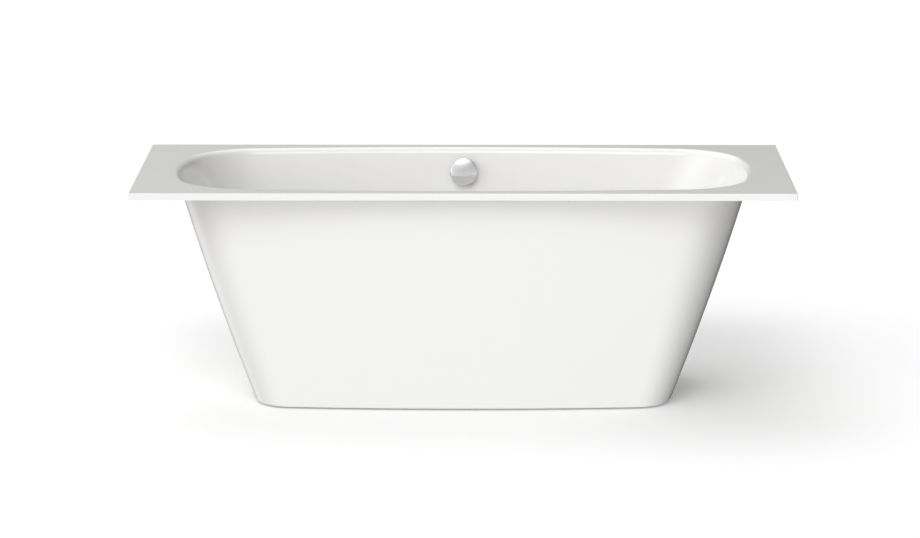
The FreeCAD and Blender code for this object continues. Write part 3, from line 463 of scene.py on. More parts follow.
def add_strip(builder, near, far, material=0):
    """Skins the strip between two rings of vertices with quads."""
    for index in range(len(near)):
        after = (index + 1) % len(near)
        face = builder.faces.new((near[index], near[after], far[after], far[index]))
        face.material_index = material


def add_rings(builder, rings, material=0, ends="open"):
    """Skins rings of points, one after another; the ends stay open, are capped or are joined."""
    made = [[builder.verts.new(point) for point in ring] for ring in rings]
    for near, far in zip(made, made[1:]):
        add_strip(builder, near, far, material)
    if ends == "joined":
        add_strip(builder, made[-1], made[0], material)
    elif ends == "capped":
        builder.faces.new(made[0])
        builder.faces.new(made[-1])
    return made


def add_turned(builder, profile, facets, place):
    """Turns (radius, height) points about Z, caps both ends, and puts the result in its place."""
    turns = [FULL_TURN * index / facets for index in range(facets)]
    rings = [[place @ round_point(radius, turn, height) for turn in turns] for radius, height in profile]
    add_rings(builder, rings, ends="capped")


def bend(centre, radius, start, end, steps):
    """Points of an arc in a (radius, height) profile, from one angle to another."""
    return [(centre[0] + radius * math.cos(angle), centre[1] + radius * math.sin(angle))
            for angle in sweep(start, end, steps)]


def dome(edge, top, steps=16):
    """Points of a ball's cap in a (radius, height) profile, from its edge up to its top on the axis."""
    radius, base = edge
    rise = top - base
    ball = (radius ** 2 + rise ** 2) / 2 / rise
    spread = math.asin(radius / ball)
    return [(max(ball * math.sin(angle), POLE), top - ball + ball * math.cos(angle))
            for angle in sweep(spread, 0.0, steps)[1:]]


def standing(base, axis=UP):
    """Placement that carries Z onto an axis at a base point."""
    return Matrix.Translation(base) @ UP.rotation_difference(axis).to_matrix().to_4x4()


def carve(piece, builder, operation):
    """Cuts a form out of a piece, or joins it on, and keeps the result as the piece's mesh."""
    bmesh.ops.recalc_face_normals(builder, faces=builder.faces)
    form = new_object("form", builder)
    form_mesh, before = form.data, piece.data
    change = piece.modifiers.new("change", "BOOLEAN")
    change.operation = operation
    change.solver = "EXACT"
    change.object = form
    depsgraph = bpy.context.evaluated_depsgraph_get()
    piece.data = bpy.data.meshes.new_from_object(piece.evaluated_get(depsgraph))
    piece.modifiers.clear()
    if len(piece.data.polygons) == 0:
        raise RuntimeError(piece.name + " lost its faces in a cut")
    bpy.data.objects.remove(form)
    bpy.data.meshes.remove(form_mesh)
    bpy.data.meshes.remove(before)


def round_form(radius, base, axis, length, facets):
    """A plain round bar to cut or join with."""
    builder = bmesh.new()
    add_turned(builder, ((radius, 0.0), (radius, length)), facets, standing(base, axis))
    return builder


def round_node(node):
    """Middle of a round CAD node's foot, its radius and its height."""
    low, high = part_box(node)
    return at_level((low + high) / 2, low.z), (high.x - low.x) / 2, high.z - low.z


def solid_boxes(node):
    """Low and high corners of each separate solid in a CAD node, in order of the low ones to 0.1 mm."""
    builder = bmesh.new()
    builder.from_mesh(frame["nodes"][node].data)
    bmesh.ops.remove_doubles(builder, verts=builder.verts, dist=WELD)
    waiting = set(builder.verts)
    boxes = []
    while waiting:
        reached = [waiting.pop()]
        for vertex in reached:
            for edge in vertex.link_edges:
                other = edge.other_vert(vertex)
                if other in waiting:
                    waiting.remove(other)
                    reached.append(other)
        low = Vector([min(vertex.co[axis] for vertex in reached) for axis in range(3)])
        high = Vector([max(vertex.co[axis] for vertex in reached) for axis in range(3)])
        boxes.append((low, high))
    builder.free()
    return sorted(boxes, key=lambda box: [round(value, 4) for value in box[0]])


def finish_nodes(material, *nodes):
    """Gives CAD nodes a finish."""
    for node in nodes:
        slots = frame["nodes"][node].data.materials
        slots.clear()
        slots.append(material)


# Plan outlines
def first_quarter(turn):
    """Signs of a direction along X and Y, and the direction turned into the first quarter."""
    facing = Vector((math.cos(turn), math.sin(turn)))
    signs = Vector((math.copysign(1, facing.x), math.copysign(1, facing.y)))
    return signs, facing * signs


class Outline:
    """Closed plan outline of eight tangent arcs: bowed ends, bowed sides and round corners."""

    def __init__(self, half_length, half_width, corner, end_bow, side_bow):
        across = corner * (math.cos(end_bow) - math.sin(side_bow)) - half_length
        deep = corner * (math.sin(end_bow) - math.cos(side_bow)) + half_width
        end_drop = math.cos(end_bow) - 1
        side_drop = 1 - math.cos(side_bow)
        scale = end_drop * side_drop + math.sin(side_bow) * math.sin(end_bow)
        self.end_radius = (across * side_drop + math.sin(side_bow) * deep) / scale
        self.side_radius = (end_drop * deep - math.sin(end_bow) * across) / scale
        self.corner = corner
        self.end_bow = end_bow
        self.side_bow = side_bow
        self.end_centre = Vector((half_length - self.end_radius, 0.0))
        self.side_centre = Vector((0.0, half_width - self.side_radius))
        facing = Vector((math.cos(end_bow), math.sin(end_bow)))
        self.corner_centre = self.end_centre + facing * (self.end_radius - corner)

    def point(self, turn):
        """Where the outline faces a direction, given as an angle from +X."""
        signs, facing = first_quarter(turn)
        turn = math.atan2(facing.y, facing.x)
        if turn <= self.end_bow:
            centre, radius = self.end_centre, self.end_radius
        elif turn < RIGHT_ANGLE - self.side_bow:
            centre, radius = self.corner_centre, self.corner
        else:
            centre, radius = self.side_centre, self.side_radius
        return (centre + facing * radius) * signs


def facings(end_bow, side_bow, end_steps=10, corner_steps=34, side_steps=22):
    """Directions round an outline, closer together where it turns faster."""
    side_start = RIGHT_ANGLE - side_bow
    parts = (sweep(0.0, end_bow, end_steps), sweep(end_bow, side_start, corner_steps),
             sweep(side_start, RIGHT_ANGLE, side_steps))
    quarter = [turn for part in parts for turn in part[:-1]]
    half = quarter + [RIGHT_ANGLE] + [math.pi - turn for turn in reversed(quarter)][:-1]
    return half + [turn + math.pi for turn in half]


def at_level(point, level):
    """A plan point on a level."""
    return Vector((point[0], point[1], level))


class Basin:
    """Profile of the basin for each direction, from the rim's land down to the floor."""
    roll_steps = 14
    wall_steps = 8
    floor_steps = 16
    # Half the angle over which the rim's outer corner is turned, and the least radius it keeps
    corner_reach = math.radians(6.5)
    least_corner = 0.0002

    def __init__(self, sizes):
        self.sizes = sizes
        self.depth = rim_level - floor_level
        bows = (sizes.end_bow, sizes.side_bow)
        half_length = rim_half.x - sizes.end_land
        half_width = rim_half.y - sizes.side_land
        self.opening = Outline(half_length, half_width, sizes.opening_corner, *bows)
        end_run = sizes.rim_roll * math.tan((RIGHT_ANGLE - sizes.end_slope) / 2)
        side_run = sizes.rim_roll * math.tan((RIGHT_ANGLE - sizes.side_slope) / 2)
        half_length -= end_run
        half_width -= side_run
        edge_corner = sizes.opening_corner - (end_run + side_run) / 2
        self.edge = Outline(half_length, half_width, edge_corner, *bows)
        half_length -= self.depth * math.tan(sizes.end_slope)
        half_width -= self.depth * math.tan(sizes.side_slope)
        self.base = Outline(half_length, half_width, sizes.floor_corner, *bows)

    def column(self, turn):
        """Points and their normals, from the land over the roll, the wall and the floor's rounding."""
        high = at_level(self.edge.point(turn), rim_level)
        low = at_level(self.base.point(turn), floor_level)
        out = round_point(1.0, turn, 0.0)
        slope = math.atan2((high - low).dot(out), self.depth)
        roll, bowl = self.sizes.rim_roll, self.sizes.floor_round
        wall_top = rim_level - roll + roll * math.sin(slope)
        wall_low = floor_level + bowl - bowl * math.sin(slope)
        top = low.lerp(high, (wall_top - floor_level) / self.depth)
        bottom = low.lerp(high, (wall_low - floor_level) / self.depth)

        def normals(start, end, steps):
            return [UP * math.sin(angle) - out * math.cos(angle) for angle in sweep(start, end, steps)]

        rolled = normals(RIGHT_ANGLE, slope, self.roll_steps)
        bowled = normals(slope, RIGHT_ANGLE, self.floor_steps)
        wall = bowled[0]
        found = [(top + (normal - wall) * roll, normal) for normal in rolled]
        found += [(top.lerp(bottom, share), wall) for share in sweep(0.0, 1.0, self.wall_steps)[1:-1]]
        return found + [(bottom + (wall - normal) * bowl, normal) for normal in bowled]

    def rim_point(self, turn, inset, level):
        """Point of the rim's outer edge that belongs to a direction, set in from the edge."""
        signs, facing = first_quarter(turn)
        turn = math.atan2(facing.y, facing.x)
        middle = (self.sizes.end_bow + RIGHT_ANGLE - self.sizes.side_bow) / 2
        start, end = middle - self.corner_reach, middle + self.corner_reach
        radius = max(self.sizes.corner_round - inset, self.least_corner)
        far = rim_half - Vector((inset, inset))
        centre = far - Vector((radius, radius))
        here = self.opening.point(turn)
        if turn < start:
            found = Vector((far.x, centre.y * here.y / self.opening.point(start).y))
        elif turn > end:
            found = Vector((centre.x * here.x / self.opening.point(end).x, far.y))
        else:
            angle = RIGHT_ANGLE * (turn - start) / (end - start)
            found = centre + Vector((math.cos(angle), math.sin(angle))) * radius
        return at_level(found * signs, level)


class BATHTUB_OT_shell(bpy.types.Operator):
    """Builds the formed shell: flat rim, rolled edge, basin and reinforced back"""
    bl_idname = "bathtub.shell"
    bl_label = "Shell"
    edge_steps = 5
    land_steps = 4
    hole_facets = 96
    over = 0.03

    def execute(self, context):
        sizes = settings("shell")
        colours = settings("colours")
        basin = Basin(sizes)
        turns = facings(sizes.end_bow, sizes.side_bow)
        columns = [basin.column(turn) for turn in turns]
        rows = range(len(columns[0]))
        face_rings = self.lip(basin, turns) + self.land(basin, turns, columns)
        face_rings += [[column[row][0] for column in columns] for row in rows[1:]]
        back_rings = [[column[row][0] - column[row][1] * sizes.wall for column in columns]
                      for row in reversed(rows)]
        back_rings += [[basin.rim_point(turn, sizes.wall, level) for turn in turns]
                       for level in (rim_level - sizes.wall, lip_level)]
        builder = bmesh.new()
        face = add_rings(builder, face_rings)
        back = add_rings(builder, back_rings, material=1)
        add_strip(builder, back[-1], face[0])
        builder.faces.new(face[-1])
        builder.faces.new(back[0]).material_index = 1
        sheet = gloss_sheet("shell_sheet", colours.shell, roughness=0.20)
        resin = reinforced_back("shell_back", colours.resin, colours.strand)
        shell = new_piece("basin_shell", builder, "shell_acrylic", "tub", sheet, resin)
        self.open_holes(shell, sizes)
        stand_in(shell, "tub_shell", crisp=38)
        return {"FINISHED"}

    def lip(self, basin, turns):
        """Rings of the turned-down edge, from its foot up and over the rounded edge."""
        radius = basin.sizes.edge_round
        rings = [[basin.rim_point(turn, 0.0, lip_level) for turn in turns]]
        for angle in sweep(0.0, RIGHT_ANGLE, self.edge_steps):
            inset = radius * (1 - math.cos(angle))
            level = rim_level - radius * (1 - math.sin(angle))
            rings.append([basin.rim_point(turn, inset, level) for turn in turns])
        return rings

    def land(self, basin, turns, columns):
        """Rings across the flat rim, from its edge to where the roll begins."""
        outer = [basin.rim_point(turn, basin.sizes.edge_round, rim_level) for turn in turns]
        return [[far.lerp(column[0][0], share) for far, column in zip(outer, columns)]
                for share in sweep(0.0, 1.0, self.land_steps)[1:]]

    def open_holes(self, shell, sizes):
        """The boss under the waste, the recess and the hole in it, and the hole for the overflow."""
        boss = sizes.sump_radius + sizes.wall
        boss_height = floor_level - sizes.wall / 2 - sump_under
        through = 2 * self.over
        overflow_start = overflow_seat - overflow_axis * self.over
        forms = (("UNION", boss, at_level(waste_axis, sump_under), UP, boss_height),
                 ("DIFFERENCE", sizes.sump_radius, at_level(waste_axis, sump_floor), UP, self.over),
                 ("DIFFERENCE", sizes.waste_hole, at_level(waste_axis, sump_under - self.over), UP, through),
                 ("DIFFERENCE", sizes.overflow_hole, overflow_start, overflow_axis, through))
        for operation, radius, base, axis, length in forms:
            carve(shell, round_form(radius, base, axis, length, self.hole_facets), operation)


class BATHTUB_OT_skirt(bpy.types.Operator):
    """Builds the tapered skirt with its flange, turned-in foot and rear service opening"""
    bl_idname = "bathtub.skirt"
    bl_label = "Skirt"
    rows = 20
    round_steps = 4
    service_steps = 10
    over = 0.05

    def execute(self, context):
        self.sizes = settings("skirt")
        self.shell = settings("shell")
        self.turns = facings(self.shell.end_bow, self.shell.side_bow)
        builder = bmesh.new()
        add_rings(builder, self.rings(), ends="joined")
        sheet = gloss_sheet("skirt_sheet", settings("colours").skirt, roughness=0.26)
        skirt = new_piece("tapered_skirt", builder, "skirt_acrylic", "tub", sheet)
        carve(skirt, self.service_form(), "DIFFERENCE")
        stand_in(skirt, "outer_skirt", crisp=38)
        return {"FINISHED"}

    def ring(self, level, inset):
        """One level ring of the skirt, set in from its outer face."""
        sizes, shell = self.sizes, self.shell
        share = (lip_level - level) / (lip_level - skirt_foot)
        swell = 4 * share * (1 - share)
        half_length = rim_half.x - shell.end_land - sizes.end_inset - sizes.end_taper * share
        half_length += sizes.end_bulge * swell
        half_width = rim_half.y - shell.side_land - sizes.side_inset - sizes.side_taper * share
        half_width += sizes.side_bulge * swell
        corner = shell.opening_corner - (sizes.end_inset + sizes.side_inset) / 2 - sizes.corner_loss * share
        outline = Outline(half_length, half_width, corner, shell.end_bow, shell.side_bow)
        return [at_level(outline.point(turn), level) - round_point(inset, turn, 0.0) for turn in self.turns]

    def rings(self):
        """Rings round the skirt's section: flange, outer face, foot, lip and inner face."""
        sizes = self.sizes
        under = lip_level - sizes.wall
        rounding = sizes.foot_round
        lowest = skirt_foot + rounding
        inner_low = skirt_foot + sizes.wall
        flange = self.ring(lip_level, -sizes.flange)
        found = [self.ring(lip_level, sizes.wall), flange, [at_level(point, under) for point in flange]]
        found += [self.ring(level, 0.0) for level in sweep(under, lowest, self.rows)]
        for angle in sweep(0.0, RIGHT_ANGLE, self.round_steps)[1:]:
            found.append(self.ring(lowest - rounding * math.sin(angle), rounding * (1 - math.cos(angle))))
        found += [self.ring(level, sizes.lip) for level in (skirt_foot, inner_low)]
        found += [self.ring(level, sizes.wall) for level in sweep(inner_low, lip_level, self.rows)[:-1]]
        return found

    def service_form(self):
        """Arched block that opens the rear of the skirt."""
        sizes = self.sizes
        half = sizes.service_width / 2
        top = lip_level - sizes.wall - sizes.service_strip
        corner = sizes.service_corner
        profile = [(half, skirt_foot - self.over)]
        profile += bend((half - corner, top - corner), corner, 0.0, RIGHT_ANGLE, self.service_steps)
        profile += [(-across, level) for across, level in reversed(profile)]
        builder = bmesh.new()
        rings = [[(across, deep, level) for across, level in profile]
                 for deep in (rim_half.y / 4, rim_half.y + self.over)]
        add_rings(builder, rings, ends="capped")
        return builder


class BATHTUB_OT_boards(bpy.types.Operator):
    """Finishes the battens under the rim and the board under the floor"""
    bl_idname = "bathtub.boards"
    bl_label = "Boards"

    def execute(self, context):
        colours = settings("colours")
        battens = [node for node in frame["nodes"] if node.startswith("rim_batten")]
        finish_nodes(pressed_board("batten_chips", colours.chip, colours.glue), *battens)
        finish_nodes(pressed_board("board_chips", shade(colours.chip, 0.94), colours.glue), "base_board")
        return {"FINISHED"}


class BATHTUB_OT_rails(bpy.types.Operator):
    """Finishes the hat-section rails under the board"""
    bl_idname = "bathtub.rails"
    bl_label = "Rails"

    def execute(self, context):
        finish_nodes(spangled_metal("rail_spangle", settings("colours").galvanised),
                     "support_rail_left", "support_rail_right")
        return {"FINISHED"}


class BATHTUB_OT_feet(bpy.types.Operator):
    """Builds the threaded rods of the four feet and their rubber pads"""
    bl_idname = "bathtub.feet"
    bl_label = "Feet"
    rows_in_pitch = 4
    rod_facets = 20
    round_steps = 4
    grooves = 5
    # Where each grip groove begins, deepens and ends, as shares of its strip and of its depth
    groove_section = ((0.2, 0.0), (0.4, 1.0), (0.6, 1.0), (0.8, 0.0))
    # Radius of the pad's collar and level of its shoulder, as shares of the whole
    collar_share = 0.52
    shoulder_share = 0.35
    # Angles at which the rounding of collar and shoulder meets the slope between them
    collar_turn = 0.3
    shoulder_turn = 0.7

    def execute(self, context):
        colours = settings("colours")
        plating = worked_metal("rod_plating", colours.zinc, roughness=0.34, stretch=(1.0, 1.0, 0.1))
        rubber = soft_rubber("pad_rubber", colours.pad)
        for body in [name for name in frame["bodies"] if name.startswith("foot_")]:
            corner = body.removeprefix("foot_")
            self.rod(corner, body, plating)
            self.pad(corner, body, rubber)
        return {"FINISHED"}

    def rod(self, corner, body, plating):
        """Rod with a running thread from end to end."""
        sizes = settings("fittings")
        node = "foot_rod_" + corner
        base, radius, length = round_node(node)
        place = standing(base)
        rings = []
        for level in sweep(0.0, length, round(length / sizes.thread_pitch) * self.rows_in_pitch):
            taper = min(level, length - level, sizes.thread_depth)
            ring = []
            for index in range(self.rod_facets):
                phase = level / sizes.thread_pitch - index / self.rod_facets
                groove = abs(2 * (phase % 1.0) - 1) * sizes.thread_depth
                here = radius - max(groove, sizes.thread_depth - taper)
                ring.append(place @ round_point(here, FULL_TURN * index / self.rod_facets, level))
            rings.append(ring)
        builder = bmesh.new()
        add_rings(builder, rings, ends="capped")
        rod = new_piece("threaded_rod_" + corner, builder, "zinc_steel", body, plating)
        stand_in(rod, node, crisp=60)

    def pad(self, corner, body, rubber):
        """Rubber foot: rounded edges, a sloped shoulder with grip grooves and a socket for the rod."""
        sizes = settings("fittings")
        node = "foot_pad_" + corner
        base, radius, height = round_node(node)
        rod_base, rod_radius, _ = round_node("foot_rod_" + corner)
        socket = rod_radius + sizes.bore_chamfer / 4
        seat = rod_base.z - base.z
        collar = radius * self.collar_share
        shoulder = height * self.shoulder_share
        rounding = sizes.pad_round
        steps = self.round_steps
        profile = [(POLE, seat), (socket, seat), (socket, height)]
        profile += bend((collar - rounding, height - rounding), rounding, RIGHT_ANGLE, self.collar_turn,
                        steps)
        for groove in range(self.grooves):
            for part, share in self.groove_section:
                along = (groove + part) / self.grooves
                depth = share * sizes.pad_groove
                profile.append((collar + (radius - collar) * along - depth,
                                height + (shoulder - height) * along - depth))
        outer = radius - rounding
        profile += bend((outer, shoulder - rounding), rounding, self.shoulder_turn, 0.0, steps)
        profile += bend((outer, rounding), rounding, 0.0, -RIGHT_ANGLE, steps)
        profile.append((POLE, 0.0))
        builder = bmesh.new()
        add_turned(builder, profile, sizes.facets, standing(base))
        pad = new_piece("rubber_pad_" + corner, builder, "pad_rubber", body, rubber)
        stand_in(pad, node, crisp=50)


class BATHTUB_OT_screws(bpy.types.Operator):
    """Builds the screws of the skirt, the rails and the overflow, with crowned heads and cross recesses"""
    bl_idname = "bathtub.screws"
    bl_label = "Screws"
    # Radius and height of each head, and radius of its shank
    heads = {"skirt_screws": (0.0040, 0.0024, 0.0020), "rail_screws": (0.0050, 0.0030, 0.0025),
             "overflow_screws": (0.0036, 0.0024, 0.0020)}
    head_facets = 32
    shank_facets = 16
    crown_steps = 8
    # Shares of the head: its crown, how full the crown is, its smallest ring and the recess's floor
    crown_share = 0.6
    crown_fullness = 0.6
    pole_share = 0.02
    recess_floor = 0.35
    # Width of the recess at its floor and of the shank at its tip, as shares of their widest
    recess_taper = 0.75
    tip_share = 0.4

    def execute(self, context):
        colours = settings("colours")
        sizes = settings("fittings")
        plating = worked_metal("screw_plating", colours.zinc, roughness=0.30, stretch=(1.0, 1.0, 0.2))
        steel = worked_metal("overflow_screw_steel", colours.stainless, roughness=0.28,
                             stretch=(1.0, 0.2, 1.0))
        for node in ("skirt_screws", "rail_screws"):
            head_height = self.heads[node][1]
            boxes = solid_boxes(node)
            places = [at_level((low + high) / 2, low.z + head_height) for low, high in boxes]
            low, high = boxes[-1]
            self.group(node, places, UP, high.z - low.z - head_height, "zinc_steel", plating)
        node = "overflow_screws"
        seat = overflow_seat + overflow_axis * sizes.bridge_level
        places = [seat + Vector(((low.x + high.x) / 2, 0.0, 0.0)) for low, high in solid_boxes(node)]
        self.group(node, places, -overflow_axis, sizes.bridge_screw, "bridge_steel", steel)
        return {"FINISHED"}

    def group(self, node, places, axis, length, slot, material):
        """All screws of one node, each with its head's seat at a place and its shank along an axis."""
        head_radius, head_height, shank_radius = self.heads[node]
        head = self.head(head_radius, head_height)
        screws = new_piece(node.removesuffix("s") + "_set", head, slot, "tub", material)
        carve(screws, self.recess(head_radius, head_height), "DIFFERENCE")
        shank = ((shank_radius, 0.0), (shank_radius, length - shank_radius),
                 (shank_radius * self.tip_share, length))
        builder = bmesh.new()
        for place in places:
            moved = screws.data.copy()
            moved.transform(standing(place, -axis))
            builder.from_mesh(moved)
            bpy.data.meshes.remove(moved)
            add_turned(builder, shank, self.shank_facets, standing(place, axis))
        bmesh.ops.recalc_face_normals(builder, faces=builder.faces)
        builder.to_mesh(screws.data)
        builder.free()
        stand_in(screws, node, crisp=40)

    def head(self, radius, height):
        """Pan head with a rounded crown."""
        crown = height * self.crown_share
        pole = radius * self.pole_share
        profile = [(pole, 0.0), (radius, 0.0)]
        profile += [(radius * math.cos(angle) ** self.crown_fullness,
                     height - crown + crown * math.sin(angle))
                    for angle in sweep(0.0, RIGHT_ANGLE, self.crown_steps)[:-1]]
        profile.append((pole, height))
        builder = bmesh.new()
        add_turned(builder, profile, self.head_facets, Matrix.Identity(4))
        return builder

    def recess(self, radius, height):
        """Cross-shaped bit that cuts the recess in a head, narrower at its floor."""
        sizes = settings("fittings")
        reach, half = radius * sizes.recess_reach, radius * sizes.recess_width / 2
        arm = ((reach, -half), (reach, half), (half, half))
        outline = [Matrix.Rotation(RIGHT_ANGLE * turn, 2) @ Vector(point)
                   for turn in range(4) for point in arm]
        rings = [[(*(point * width), level) for point in outline]
                 for width, level in ((self.recess_taper, height * self.recess_floor), (1.0, height * 2))]
        builder = bmesh.new()
        add_rings(builder, rings, ends="capped")
        return builder


class BATHTUB_OT_nuts(bpy.types.Operator):
    """Builds the feet's hexagon nuts and the pipes' coupling nuts, with turned-off corners"""
    bl_idname = "bathtub.nuts"
    bl_label = "Nuts"
    nut_sides = 6
    coupling_sides = 8
    facets_in_side = 8
    chamfer_slope = math.radians(30)

    def execute(self, context):
        colours = settings("colours")
        sizes = settings("fittings")
        plating = worked_metal("nut_plating", colours.zinc, roughness=0.32, stretch=(1.0, 1.0, 0.3))
        plastic = moulded_plastic("coupling_plastic", colours.grip, roughness=0.42)
        along_y = Vector((0.0, 1.0, 0.0))
        wall_up = Vector((0.0, overflow_axis.z, -overflow_axis.y))
        nut = (self.nut_sides, sizes.nut_flats, sizes.nut_height, sizes.rod_bore, sizes.nut_chamfer)
        for node in ("foot_nuts", "lock_nuts"):
            self.group(node, (UP,) * 4, nut, "zinc_steel", plating)
        for node, axes, bore in (("trap_nuts", (UP, along_y), sizes.trap_bore),
                                 ("overflow_nuts", (along_y, wall_up, wall_up), sizes.pipe_bore)):
            flats = 2 * (bore + sizes.coupling_ring)
            coupling = (self.coupling_sides, flats, sizes.coupling_length, bore, sizes.grip_chamfer)
            self.group(node, axes, coupling, "nut_plastic", plastic)
        return {"FINISHED"}

    def group(self, node, axes, form, slot, material):
        """All nuts of one node, each placed on its own solid."""
        builder = bmesh.new()
        for (low, high), axis in zip(solid_boxes(node), axes):
            add_rings(builder, self.nut_rings((low + high) / 2, axis, *form), ends="joined")
        nuts = new_piece(node.removesuffix("s") + "_set", builder, slot, "tub", material)
        stand_in(nuts, node, crisp=24)

    def nut_rings(self, centre, axis, sides, flats, height, bore, chamfer):
        """Rings round a nut's section: chamfered bore, end faces, and flats whose corners are turned off."""
        easing = settings("fittings").bore_chamfer
        facets = sides * self.facets_in_side
        turns = [FULL_TURN * index / facets for index in range(facets)]
        side_turn = FULL_TURN / sides
        spread = [flats / 2 / math.cos(turn % side_turn - side_turn / 2) for turn in turns]
        face = flats / 2 - chamfer / 2
        drop = [(radius - face) * math.tan(self.chamfer_slope) for radius in spread]
        low_half = [([radius] * facets, [level] * facets)
                    for radius, level in ((bore, easing), (bore + easing, 0.0), (face, 0.0))]
        low_half.append((spread, drop))
        high_half = [(radii, [height - level for level in levels]) for radii, levels in reversed(low_half)]
        place = standing(centre - axis * (height / 2), axis)
        return [[place @ round_point(radius, turn, level)
                 for radius, turn, level in zip(radii, turns, levels)]
                for radii, levels in low_half + high_half]


class BATHTUB_OT_drain(bpy.types.Operator):
    """Finishes the moulded waste, trap, overflow and pipes"""
    bl_idname = "bathtub.drain"
    bl_label = "Drain"

    def execute(self, context):
        colours = settings("colours")
        moulded = moulded_plastic("drain_moulded", colours.drain, roughness=0.36)
        finish_nodes(moulded, "waste_body", "overflow_body", "trap_bend", "overflow_elbow")
        drawn = moulded_plastic("pipe_drawn", shade(colours.drain, 1.06), roughness=0.30, grain=500.0)
        finish_nodes(drawn, "trap_outlet", "overflow_pipe")
        return {"FINISHED"}


class BATHTUB_OT_waste(bpy.types.Operator):
    """Builds the domed plug and finishes the flange round it"""
    bl_idname = "bathtub.waste"
    bl_label = "Waste"
    round_steps = 6

    def execute(self, context):
        chrome = polished_metal("waste_chrome", settings("colours").chrome, roughness=0.07)
        finish_nodes(chrome, "waste_flange")
        self.plug(chrome)
        return {"FINISHED"}

    def plug(self, chrome):
        """Domed plug with a softened edge on its stem."""
        sizes = settings("fittings")
        base, radius, top = round_node("waste_plug")
        edge_top = top - sizes.plug_dome
        under = edge_top - sizes.plug_edge
        rounding = sizes.plug_round
        slope = 2 * math.atan(sizes.plug_dome / radius)
        drop = rounding * (1 - math.sin(slope)) / math.cos(slope)
        profile = [(POLE, 0.0), (sizes.stem_radius - sizes.burr, 0.0), (sizes.stem_radius, sizes.burr),
                   (sizes.stem_radius, under), (radius - sizes.burr, under), (radius, under + sizes.burr)]
        profile += bend((radius - rounding, edge_top - drop), rounding, 0.0, RIGHT_ANGLE - slope,
                        self.round_steps)
        profile += dome(profile[-1], top)
        builder = bmesh.new()
        add_turned(builder, profile, sizes.facets * 2, standing(base))
        plug = new_piece("domed_plug", builder, "chrome", "plug", chrome)
        stand_in(plug, "waste_plug", crisp=40)


class BATHTUB_OT_seals(bpy.types.Operator):
    """Finishes the rubber seals and gaskets"""
    bl_idname = "bathtub.seals"
    bl_label = "Seals"

    def execute(self, context):
        rubber = soft_rubber("seal_bloom", settings("colours").rubber)
        finish_nodes(rubber, "waste_seal", "waste_gasket", "plug_seal", "overflow_gasket")
        return {"FINISHED"}


class BATHTUB_OT_knob(bpy.types.Operator):
    """Builds the domed knob and finishes what carries it"""
    bl_idname = "bathtub.knob"
    bl_label = "Knob"
    round_steps = 8

    def execute(self, context):
        colours = settings("colours")
        self.knob(polished_metal("knob_chrome", colours.chrome, roughness=0.06))
        for node, name, colour, roughness, stretch in (
                ("overflow_bridge", "bridge_brushed", colours.stainless, 0.30, (0.05, 1.0, 1.0)),
                ("knob_spindle", "spindle_turned", colours.brass, 0.28, (1.0, 0.05, 1.0)),
                ("knob_set_screw", "set_screw_steel", colours.drawn, 0.40, (1.0, 1.0, 0.3))):
            finish_nodes(worked_metal(name, colour, roughness, stretch), node)
        return {"FINISHED"}

    def knob(self, chrome):
        """Domed cap, hollow behind, with a boss for the spindle and a hole below for the set screw."""
        sizes = settings("fittings")
        radius, gap, rounding, burr = sizes.knob_radius, sizes.knob_gap, sizes.knob_round, sizes.burr
        boss, boss_level = sizes.boss_radius, sizes.boss_level
        front = gap + sizes.knob_depth
        roof = front - sizes.knob_wall
        bore_end = (roof + front) / 2
        inner = radius - sizes.knob_wall
        slope = 2 * math.atan(sizes.knob_dome / (radius - rounding))
        profile = [(POLE, bore_end), (sizes.boss_bore, bore_end), (sizes.boss_bore, boss_level),
                   (boss - burr, boss_level), (boss, boss_level + burr), (boss, roof),
                   (inner, roof), (inner, gap + burr), (inner + burr, gap),
                   (radius - burr, gap), (radius, gap + burr)]
        profile += bend((radius - rounding, front - rounding), rounding, 0.0, RIGHT_ANGLE - slope,
                        self.round_steps)
        profile += dome(profile[-1], front + sizes.knob_dome)
        builder = bmesh.new()
        add_turned(builder, profile, sizes.facets * 2, standing(overflow_seat, overflow_axis))
        knob = new_piece("domed_knob", builder, "chrome", "knob", chrome)
        hole_start = overflow_seat + overflow_axis * (boss_level + roof) / 2
        down_wall = Vector((1, 0, 0)).cross(overflow_axis)
        hole = round_form(sizes.set_screw_hole, hole_start, down_wall, radius * 2, sizes.facets)
        carve(knob, hole, "DIFFERENCE")
        stand_in(knob, "overflow_knob", crisp=40)


class BATHTUB_OT_mechanism(bpy.types.Operator):
    """Finishes the cam, the lever and its pin, which lift the plug"""
    bl_idname = "bathtub.mechanism"
    bl_label = "Mechanism"

    def execute(self, context):
        colours = settings("colours")
        moulded = moulded_plastic("lever_moulded", colours.lever, roughness=0.40)
        finish_nodes(moulded, "lift_lever", "cable_cam")
        drawn = worked_metal("pin_drawn", colours.drawn, roughness=0.30, stretch=(1.0, 0.05, 1.0))
        finish_nodes(drawn, "lever_pin")
        return {"FINISHED"}


class BATHTUB_OT_cable(bpy.types.Operator):
    """Finishes the pull cable, its wire and the ferrules at both ends"""
    bl_idname = "bathtub.cable"
    bl_label = "Cable"

    def execute(self, context):
        colours = settings("colours")
        sleeve = moulded_plastic("sleeve_plastic", colours.sleeve, roughness=0.34, grain=700.0)
        finish_nodes(sleeve, "cable_sleeve")
        wire = worked_metal("wire_drawn", colours.drawn, roughness=0.34, stretch=(0.3, 0.3, 0.3))
        finish_nodes(wire, "cable_wire")
        finish_nodes(moulded_plastic("ferrule_plastic", colours.grip, roughness=0.40), "cable_ferrules")
        return {"FINISHED"}


